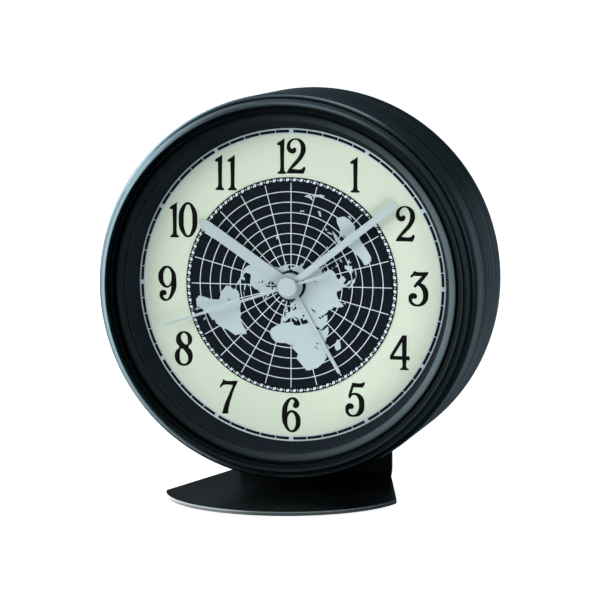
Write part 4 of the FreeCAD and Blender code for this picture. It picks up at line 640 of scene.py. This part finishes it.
def ring_piece(inner, outer, start, end, steps):
    """A short stretch of a ring, from one angle to another."""
    angles = [start + (end - start) * step / steps for step in range(steps + 1)]
    return [on_circle(outer, angle) for angle in angles] + [on_circle(inner, angle) for angle in reversed(angles)]


def minute_dash(minute):
    gaps = [FIFTH_GAP if edge % 5 == 0 else MINUTE_GAP for edge in (minute, minute + 1)]
    trims = [math.degrees(gap / 2 / DASH_INNER) for gap in gaps]
    start = minute * MINUTE_TURN + trims[0]
    end = (minute + 1) * MINUTE_TURN - trims[1]
    return ring_piece(DASH_INNER, DASH_OUTER, start, end, DASH_STEPS)


dashes = [minute_dash(minute) for minute in range(60)]
plate("minute_dashes", dashes, track_front, "map_black")
print("minute dashes printed:", len(dashes))

# %% [markdown]
# The black disc carries a map of the world seen from above the north pole. On such a map the distance from the
# middle is the distance from the pole, and the angle is the longitude. Circles and straight lines every fifteen
# degrees make its net. The first circle would fall into the hole that the hands turn in, and is left out. Lines
# this thin look darker than they are, so their silver is the brightest on the dial.

# %% The map's net
NET_STEP = 15
NET_CIRCLES = range(2, 10)
CIRCLE_STEP = 3
NET_LINE = 0.24
NET_START = 5.0
NET_REACH = 31.3
CIRCLE_RISE = 0.03 * MM
SPOKE_RISE = 0.034 * MM
MAP_SCALE = 0.212
MAP_TURN = 7.5
map_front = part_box("map_disc")[0].y
net_silver = grained("net_silver", (0.56, 0.64, 0.68), (0.64, 0.72, 0.76), 0.5, 1800.0, 0.01 * MM, mirror=0.1)


def net_circle(radius):
    angles = range(0, 360, CIRCLE_STEP)
    return [[on_circle(radius + side * NET_LINE / 2, angle) for angle in angles] for side in (1, -1)]


def net_spoke(degrees):
    across, up = on_circle(1, degrees)
    half = NET_LINE / 2
    ends = [(NET_START, half), (NET_REACH, half), (NET_REACH, -half), (NET_START, -half)]
    return [(across * far + up * aside, up * far - across * aside) for far, aside in ends]


circles = [ring for step in NET_CIRCLES for ring in net_circle(step * NET_STEP * MAP_SCALE)]
plate("map_circles", circles, map_front, "track_silver", CIRCLE_RISE, finish=net_silver)
spokes = [net_spoke(180 + MAP_TURN - NET_STEP / 2 + turn * NET_STEP) for turn in range(360 // NET_STEP)]
plate("map_spokes", spokes, map_front, "track_silver", SPOKE_RISE, finish=net_silver)
print("net printed:", len(circles) // 2, "circles and", len(spokes), "spokes")

# %% [markdown]
# Round the map runs a fine border like a twisted cord: short slanted strokes with a dot between each two. It is
# laid out in equal turns, with a dot at the start of each and a stroke in the middle of the room that is left.

# %% The map's border
BORDER_INNER = 31.85
BORDER_OUTER = 32.65
BORDER_COUNT = 96
STROKE_SPAN = 1.6
STROKE_LEAN = 0.5
DOT_SPAN = 0.6
DOT_HEIGHT = 0.4


def border_stroke(angle):
    outer = [on_circle(BORDER_OUTER, angle + STROKE_LEAN), on_circle(BORDER_OUTER, angle + STROKE_LEAN + STROKE_SPAN)]
    inner = [on_circle(BORDER_INNER, angle + STROKE_SPAN), on_circle(BORDER_INNER, angle)]
    return outer + inner


def border_dot(angle):
    middle = (BORDER_INNER + BORDER_OUTER) / 2
    low, high = middle - DOT_HEIGHT / 2, middle + DOT_HEIGHT / 2
    return ring_piece(low, high, angle - DOT_SPAN / 2, angle + DOT_SPAN / 2, 1)


border_turn = 360 / BORDER_COUNT
to_stroke = (border_turn - STROKE_SPAN - STROKE_LEAN) / 2
strokes = [border_stroke(turn * border_turn + to_stroke) for turn in range(BORDER_COUNT)]
dots = [border_dot(turn * border_turn) for turn in range(BORDER_COUNT)]
plate("map_border", strokes + dots, map_front, "track_silver", CIRCLE_RISE, finish=net_silver)
print("border printed:", len(strokes), "strokes and", len(dots), "dots")

# %% [markdown]
# The lands are silver too, and cover the net. Their coasts are simple outlines in degrees of longitude and
# latitude, such as anyone can sketch from an atlas, kept coarse because the whole map is the size of a large coin.

# %% The coasts of the large lands
old_world = [
    (32, 31), (29, 31), (25, 32), (20, 31), (15, 32), (11, 33.5), (11, 37), (5, 37), (-2, 35), (-6, 35.8), (-10, 30),
    (-13, 27.5), (-17, 21), (-17.5, 14.7), (-13, 8.5), (-8, 4.5), (-4, 5), (2, 6.3), (6, 4.3), (9, 4.5), (9, -1),
    (13.5, -9), (12, -16), (14.5, -22.5), (18, -34), (20, -34.8), (26, -34), (31, -30), (35.5, -24), (35, -20),
    (40, -16), (40.5, -11), (39, -6.5), (42, -1.5), (48, 4.5), (51, 11), (44, 10.5), (43, 12), (39, 15.5), (37, 21),
    (32.8, 29.6), (34.2, 27.8), (35, 29.5), (38.5, 24), (42, 17.5), (43.5, 12.8), (52, 16), (55, 17.5), (59.8, 22.5),
    (56.4, 26), (54, 24.2), (51.3, 25), (50, 26.5), (48, 30), (51, 29), (56.5, 27), (61.5, 25.2), (67, 24.8),
    (70, 21), (72.7, 21), (73.5, 16), (76.5, 9), (77.5, 8), (80, 11.5), (80.2, 15.5), (87, 21.5), (91, 22.5),
    (94.3, 16), (97, 16.8), (98.5, 9), (101, 3), (103.8, 1.3), (103.4, 4.5), (100, 9), (100.5, 13.5), (105, 8.7),
    (109.2, 12), (108, 16), (105.8, 19), (108, 21.5), (114, 22.5), (119, 25.5), (121.8, 30), (119.3, 35), (122.4, 37),
    (118, 39), (121.5, 40.5), (125, 39.5), (126.5, 34.5), (129, 35.5), (128, 40), (131, 42.8), (135.5, 44.5),
    (140.3, 48.5), (141, 53), (136, 54.5), (142, 59), (152, 59.3), (160, 61.7), (156, 57), (156.5, 51.2), (162, 55),
    (164, 60), (170, 60), (179, 62.5), (187, 64.5), (190, 66), (181, 69), (170, 70), (160, 70), (140, 72.8),
    (130, 71), (113, 74), (104, 77.5), (90, 75.5), (80, 72.5), (73, 71), (68, 68.5), (54, 68.5), (44, 68), (41, 65),
    (35, 64.5), (40, 66.8), (33, 69.3), (26, 71), (18, 69.5), (11, 64), (5, 61.5), (6.5, 58), (10.8, 59), (13, 55.6),
    (16.3, 57), (17.5, 61), (21.5, 65), (25, 65.3), (21.5, 62), (23, 60), (29.5, 60), (23, 58.5), (21, 55.5), (14, 54),
    (10.8, 54.3), (10.4, 57.4), (8.2, 56.8), (8.5, 54), (4.5, 52), (-1.5, 49.7), (-4.7, 48.5), (-1.2, 46),
    (-1.8, 43.4), (-9, 43.2), (-9, 37.2), (-5.8, 36.4), (-1, 37.5), (3, 42), (8.8, 44.4), (12, 42), (16, 38),
    (18.4, 40), (12.6, 44.2), (14, 45.4), (19.3, 42), (21.5, 37), (23.5, 37.5), (23, 40.3), (28.8, 41), (26.8, 39),
    (27.8, 37), (36, 36.6), (34.6, 31.5),
]
new_world = [
    (-168, 65.6), (-164, 68), (-156.5, 71.2), (-141, 69.7), (-128, 70.3), (-115, 68), (-97, 68), (-94, 71.5),
    (-85, 69.5), (-82, 67.5), (-93, 62), (-94, 58.5), (-88, 56.7), (-82.3, 55), (-81, 52), (-79, 53), (-77, 57),
    (-78, 60), (-75, 62.2), (-69.5, 59.5), (-64.5, 60.2), (-61, 56), (-56, 53), (-60, 50.2), (-66, 50), (-64.5, 46.5),
    (-61, 45.5), (-66, 43.8), (-70.3, 43), (-71, 41.5), (-74, 40.3), (-76, 36), (-81, 31.8), (-80.2, 26), (-82.7, 28.5),
    (-84.5, 30), (-90, 29.5), (-95, 29.3), (-97.5, 26), (-97.5, 22), (-95, 18.6), (-91, 18.7), (-90, 21), (-87, 21.3),
    (-88.5, 16), (-83.3, 15), (-83.6, 11), (-81, 9), (-77, 8.5), (-75, 10.8), (-72, 12), (-68, 11), (-62, 10.5),
    (-57, 6), (-51.5, 4), (-50, 0.5), (-44, -2.7), (-37, -4.5), (-35, -8), (-39, -14), (-40.5, -21), (-48, -26),
    (-50, -30), (-55, -35), (-58, -35), (-58, -38.3), (-64, -41), (-66, -46), (-69, -52), (-66, -55), (-73, -53),
    (-75, -48), (-73.8, -40), (-71.5, -30), (-70.3, -19), (-76, -14), (-81.2, -5.5), (-80, 0), (-77.5, 4), (-78, 8),
    (-82, 8.3), (-87.5, 13), (-94, 16), (-101, 17.3), (-105.5, 20.5), (-109, 25.5), (-114, 31.5), (-109.8, 23.2),
    (-113, 27), (-117, 32.5), (-121, 35), (-124, 40.3), (-124, 47), (-130, 54), (-138, 59.3), (-147, 61),
    (-153, 59.2), (-164, 54.7), (-158, 58.5), (-165, 61.5), (-161, 64.3),
]
australia = [
    (114, -22), (113.7, -26), (115.5, -33.5), (118, -35), (124, -33.3), (131, -31.5), (135.5, -34.8), (138, -33.3),
    (140.5, -38), (146.3, -39), (150, -37.3), (153.5, -29), (151, -23.5), (146, -19), (145, -15), (142.5, -10.8),
    (140.8, -17.5), (136, -15.5), (136.5, -12.2), (131, -12), (129, -15), (125, -14.5), (122.2, -18), (118, -20.5),
]
print("coast points:", len(old_world), len(new_world), len(australia))

# %% [markdown]
# The islands and the inland seas are what makes the map read as a fine print. A sea inside a land is just a
# second outline in the same plate, and the filled curve leaves it open, so the black disc shows through.

# %% The islands and inland seas
islands = {
    "greenland": [(-73, 78), (-60, 76), (-54, 71), (-52, 65.5), (-48, 61), (-43.5, 60), (-40, 65), (-24, 69.5),
                  (-19, 76), (-14, 81), (-35, 83.5), (-62, 82)],
    "north_isles": [(-64, 82.5), (-88, 81.5), (-90, 77), (-79, 76.2)],
    "bay_isle": [(-62, 66.5), (-70, 70.8), (-82, 73.5), (-89, 72), (-79, 69.8), (-73, 66), (-78, 64), (-66, 62.2)],
    "west_isle": [(-117, 70), (-104, 69), (-108, 73), (-116, 73.2)],
    "far_west_isle": [(-125, 72), (-119, 71.8), (-118, 74.5)],
    "new_found": [(-59, 47.7), (-55.6, 51.5), (-53, 47)],
    "long_isle": [(-84.8, 22), (-80, 23), (-74.3, 20.2), (-78, 20.2)],
    "twin_isle": [(-74, 18.4), (-72.5, 19.9), (-68.4, 18.5)],
    "ice_isle": [(-24, 65.5), (-22, 63.9), (-18.5, 63.4), (-13.6, 65), (-17, 66.4)],
    "britain": [(-5.5, 50.1), (1.4, 51.2), (-1.8, 55.3), (-2.2, 57.5), (-5, 58.6), (-5.3, 55.5), (-3, 54),
                (-4.8, 52.3)],
    "erin": [(-10, 52), (-6.3, 52.2), (-6, 54.8), (-9.5, 54.3)],
    "cold_coast": [(12, 79.5), (22, 80.2), (17, 76.8)],
    "new_land": [(52, 71), (57, 74.5), (67, 77), (57, 72.5)],
    "madagascar": [(49.3, -12), (50.3, -15.8), (47.2, -25), (44, -25), (43.4, -21.5), (44.5, -16.2)],
    "ceylon": [(79.9, 8), (80.6, 9.6), (81.8, 7.3), (80.4, 6)],
    "sumatra": [(95.3, 5.5), (100, 2.2), (104, -2), (105.8, -5.8), (102, -4), (98.5, 1)],
    "java": [(105.3, -6.6), (110.8, -6.4), (114.5, -7.8), (110, -8.2)],
    "borneo": [(109.2, 1), (113, 3.2), (116.7, 7), (119, 5), (117.5, 1), (116, -4), (111, -3)],
    "celebes": [(119.3, -5.4), (119.3, -1), (124.5, 1.4), (120.8, 0.2), (122.6, -4.4), (120.6, -3)],
    "guinea": [(131, -1), (135, -3.2), (138, -1.7), (144.5, -4), (150.5, -10.5), (143.3, -9), (139, -8), (133, -4)],
    "luzon": [(120.3, 16.3), (121, 18.5), (122.2, 18), (121.6, 15), (123.8, 13), (120.6, 14)],
    "mindanao": [(122.2, 7.2), (125.5, 9.8), (126.3, 6.5)],
    "formosa": [(120.2, 23), (121.6, 25.2), (121, 22)],
    "honshu": [(131, 34), (136, 35.8), (139, 38.3), (140.3, 41.3), (142, 39.5), (140.6, 35.5), (136, 33.6)],
    "kyushu": [(130, 33.4), (131.8, 33.2), (131, 31.2), (130, 31.6)],
    "hokkaido": [(140.2, 42), (141.8, 45.3), (145.2, 43.4), (143, 42.1)],
    "sakhalin": [(142, 46), (142.6, 54), (144, 49)],
    "tasmania": [(144.8, -40.9), (148.3, -41), (147, -43.6)],
    "north_zealand": [(172, -36.4), (174.5, -37.7), (176, -39.4), (178.8, -40), (178, -41.9), (175.8, -44.2),
                      (174, -41.4), (173.6, -38.9)],
    "south_zealand": [(174.3, -42.9), (172.5, -45.9), (169, -48.7), (166.5, -48.6), (166.8, -46.6), (170, -44.4),
                      (172.8, -42.1)],
    "coral_isle": [(163.4, -19.4), (165.2, -19.4), (167.6, -25.4), (165.8, -25.6)],
    "west_twin": [(177.4, -17.8), (178.6, -17.8), (178.6, -20), (177.4, -20)],
    "east_twin": [(179.2, -17), (180.4, -17), (180.4, -19.2), (179.2, -19.2)],
    "navigator_isle": [(-173.6, -14.4), (-171.8, -14.2), (-172.5, -16.8)],
    "volcano_isle": [(-157.6, 20.6), (-154.6, 20.4), (-155.4, 15.6), (-157, 15.6)],
    "trench_isle": [(143.6, 13.8), (145.2, 13.4), (144.8, 11.6), (143.3, 12)],
    "solomon_isle": [(154.6, -5), (156.6, -6.4), (156, -8.4), (154.2, -6.8)],
    "new_britain": [(148.4, -5.2), (150.4, -5), (152.2, -3.2), (153, -5), (150, -6.8), (148.6, -6.6)],
    "cape_isle": [(-61.6, -46.4), (-60.4, -46.8), (-59.7, -49.9), (-60.9, -50.2)],
}
inland_seas = [
    [(28.5, 41.7), (28.8, 44), (31, 46.4), (33.3, 45.2), (36, 45), (39, 47), (38.5, 44.3), (41.5, 42), (35, 41.8)],
    [(47.6, 45.5), (51.5, 47), (53, 45), (51, 44), (54, 41), (53.5, 37), (50, 37.4), (49.6, 41)],
    [(58.8, 44.5), (60.5, 46.5), (61.2, 44.8)],
    [(104.2, 51.5), (109.5, 55.6), (109.8, 54), (105.6, 51.4)],
    [(31.8, 0.3), (34.2, 0), (33.4, -2.5), (31.8, -2.2)],
    [(29.2, -3.5), (30, -3.6), (31.2, -8.6), (30.4, -8.6)],
]
great_lakes = [
    [(-92, 46.7), (-88.5, 48.8), (-84.8, 47), (-87.5, 46.4)],
    [(-87.8, 42), (-87, 45.2), (-85.2, 45.4), (-86.2, 42)],
    [(-83.8, 45.2), (-80.5, 45.8), (-81.6, 43.3), (-83, 43.6)],
    [(-124, 65.6), (-119, 67), (-118, 65.8), (-122, 65)],
    [(-117, 61), (-110, 62.6), (-112, 61.2)],
    [(-98.8, 53.6), (-97.6, 53.4), (-96.4, 50.6), (-98, 51.5)],
    [(-69.6, -5.4), (-69, -3.4), (-67.4, -3.8), (-67.8, -5.8)],
]
print("islands:", len(islands), "and waters inside the lands:", len(inland_seas) + len(great_lakes))

# %% [markdown]
# Putting the coasts on the map's circle bends them into the shapes that a traveller over the pole would see. The
# hands turn in a hole in the middle of the map. A point that would fall into it is pushed out to its rim, and a
# coast that lies wholly inside it is left out. The lands are a greyer silver than the net.

# %% Printing the lands
HOLE_RIM = 4.65
LAST_LATITUDE = 90 - HOLE_RIM / MAP_SCALE
LAND_RISE = 0.06 * MM
land_silver = grained("land_silver", (0.41, 0.49, 0.52), (0.47, 0.56, 0.585), 0.5, 1800.0, 0.01 * MM, mirror=0.1)


def on_map(coast):
    """A coast's points on the dial, in millimetres from the hub."""
    spots = []
    for longitude, latitude in coast:
        turn = math.radians(longitude - MAP_TURN)
        far = max((90 - latitude) * MAP_SCALE, HOLE_RIM)
        spots.append((far * math.sin(turn), -far * math.cos(turn)))
    return spots


def outside_hole(coast):
    return min(latitude for longitude, latitude in coast) < LAST_LATITUDE


lands = {
    "land_old_world": [old_world, *inland_seas],
    "land_new_world": [new_world, *great_lakes],
    "land_islands": [australia, *islands.values()],
}
for name, coasts in lands.items():
    outlines = [on_map(coast) for coast in coasts if outside_hole(coast)]
    plate(name, outlines, map_front, "track_silver", LAND_RISE, finish=land_silver)
    print(name, "has", len(outlines), "outlines")

# %% [markdown]
# The clock stands on a plain pale floor that runs out of the picture on every side. It glows nearly white by
# itself, as a light table does, so that no shadow greys it, and the clock doesn't mirror it.

# %% The floor
FLOOR_SIDE = 80.0
FLOOR_CELLS = 8
FLOOR_GLOW = 0.93


def pale_floor():
    mesh = bpy.data.meshes.new("studio_floor")
    shape = bmesh.new()
    bmesh.ops.create_grid(shape, x_segments=FLOOR_CELLS, y_segments=FLOOR_CELLS, size=FLOOR_SIDE / 2)
    shape.to_mesh(mesh)
    shape.free()
    made = Finish("pale_floor", roughness=0.8, emission_color=colour(1.0, 1.0, 1.0), emission_strength=FLOOR_GLOW)
    dust = made.place.noise(3.0, 3.0)
    made.wire("Base Color", dust.between(colour(0.86, 0.87, 0.87), colour(0.90, 0.91, 0.91)))
    mesh.materials.append(made.material)
    floor = bpy.data.objects.new("studio_floor", mesh)
    bpy.context.scene.collection.objects.link(floor)
    floor.visible_diffuse = False
    floor.visible_glossy = False
    return floor


print("floor laid:", pale_floor().name)

# %% [markdown]
# Two kinds of light make this portrait. The pale dial and the hands are matt, and want broad light from the front
# left that throws only soft shadows: a large softbox there, and a small one low on the right against the shadows.
# The black metal shows nothing but what it mirrors, so it gets six panels of its own. Two bright ones stand far
# round to the left and draw the bright edge of the lip and the drum. One overhead lights the top. Three faint ones,
# in front, beside and behind on the right, give the rings and the drum's side their gleam. Each light is seen only
# by the kind of surface that it is meant for. A row holds the light's azimuth and elevation in degrees, its
# distance, width and height in metres, its power in watts, and that kind.

# %% Soft studio light
lights = {
    "key_softbox": (-34, 18, 1.6, 1.3, 1.1, 19.7, "matt"),
    "fill_softbox": (40, -26, 0.36, 0.3, 0.3, 1.75, "matt"),
    "left_panel": (-66, 0, 1.1, 1.5, 1.4, 30.0, "mirror"),
    "rear_left_panel": (-125, 8, 1.1, 1.0, 1.5, 31.0, "mirror"),
    "top_panel": (0, 80, 1.1, 0.8, 1.2, 3.8, "mirror"),
    "right_strip": (62, 18, 1.1, 0.12, 0.8, 0.3, "mirror"),
    "rear_right_panel": (162, -20, 1.1, 0.6, 1.1, 0.42, "mirror"),
    "front_right_panel": (30, -4, 1.1, 0.5, 1.2, 0.35, "mirror"),
}


def soft_light(name, azimuth, elevation, distance, width, height, power, kind):
    area = bpy.data.lights.new(name, "AREA")
    area.shape = "RECTANGLE"
    area.size = width
    area.size_y = height
    area.energy = power
    lamp = bpy.data.objects.new(name, area)
    bpy.context.scene.collection.objects.link(lamp)
    facing(lamp, hub + direction(azimuth, elevation) * distance, hub)
    lamp.visible_diffuse = kind == "matt"
    lamp.visible_glossy = kind == "mirror"


for name, numbers in lights.items():
    soft_light(name, *numbers)
print("lights:", list(lights))

# %% [markdown]
# The room behind the clock is white to the camera, so the picture has a white ground. The metal must not mirror
# that white, or black would turn grey. The Light Path node tells who is looking: the camera, a matt surface or a
# mirror. Matt surfaces see a dim room and mirrors a dark one.

# %% The room
WHITE_GROUND = 1.3
MATT_ROOM = 0.28
MIRROR_ROOM = 0.06
ROOM_TINT = colour(0.8, 1.0, 1.1)
sky = bpy.data.worlds.new("studio_white")
sky.use_nodes = True
bpy.context.scene.world = sky
to_camera = Signal(sky.node_tree).node("ShaderNodeLightPath", {}, {}, "Is Camera Ray")
to_matt = to_camera.also("Is Diffuse Ray")
to_mirror = to_camera.also("Is Glossy Ray")
strength = to_camera * WHITE_GROUND + to_matt * MATT_ROOM + to_mirror * MIRROR_ROOM
backdrop = sky.node_tree.nodes["Background"]
backdrop.inputs["Color"].default_value = ROOM_TINT
sky.node_tree.links.new(strength.socket, backdrop.inputs["Strength"])
bpy.context.scene.view_settings.view_transform = "Standard"
print("the room is", WHITE_GROUND, "bright to the camera and", MIRROR_ROOM, "to a mirror")

# %% [markdown]
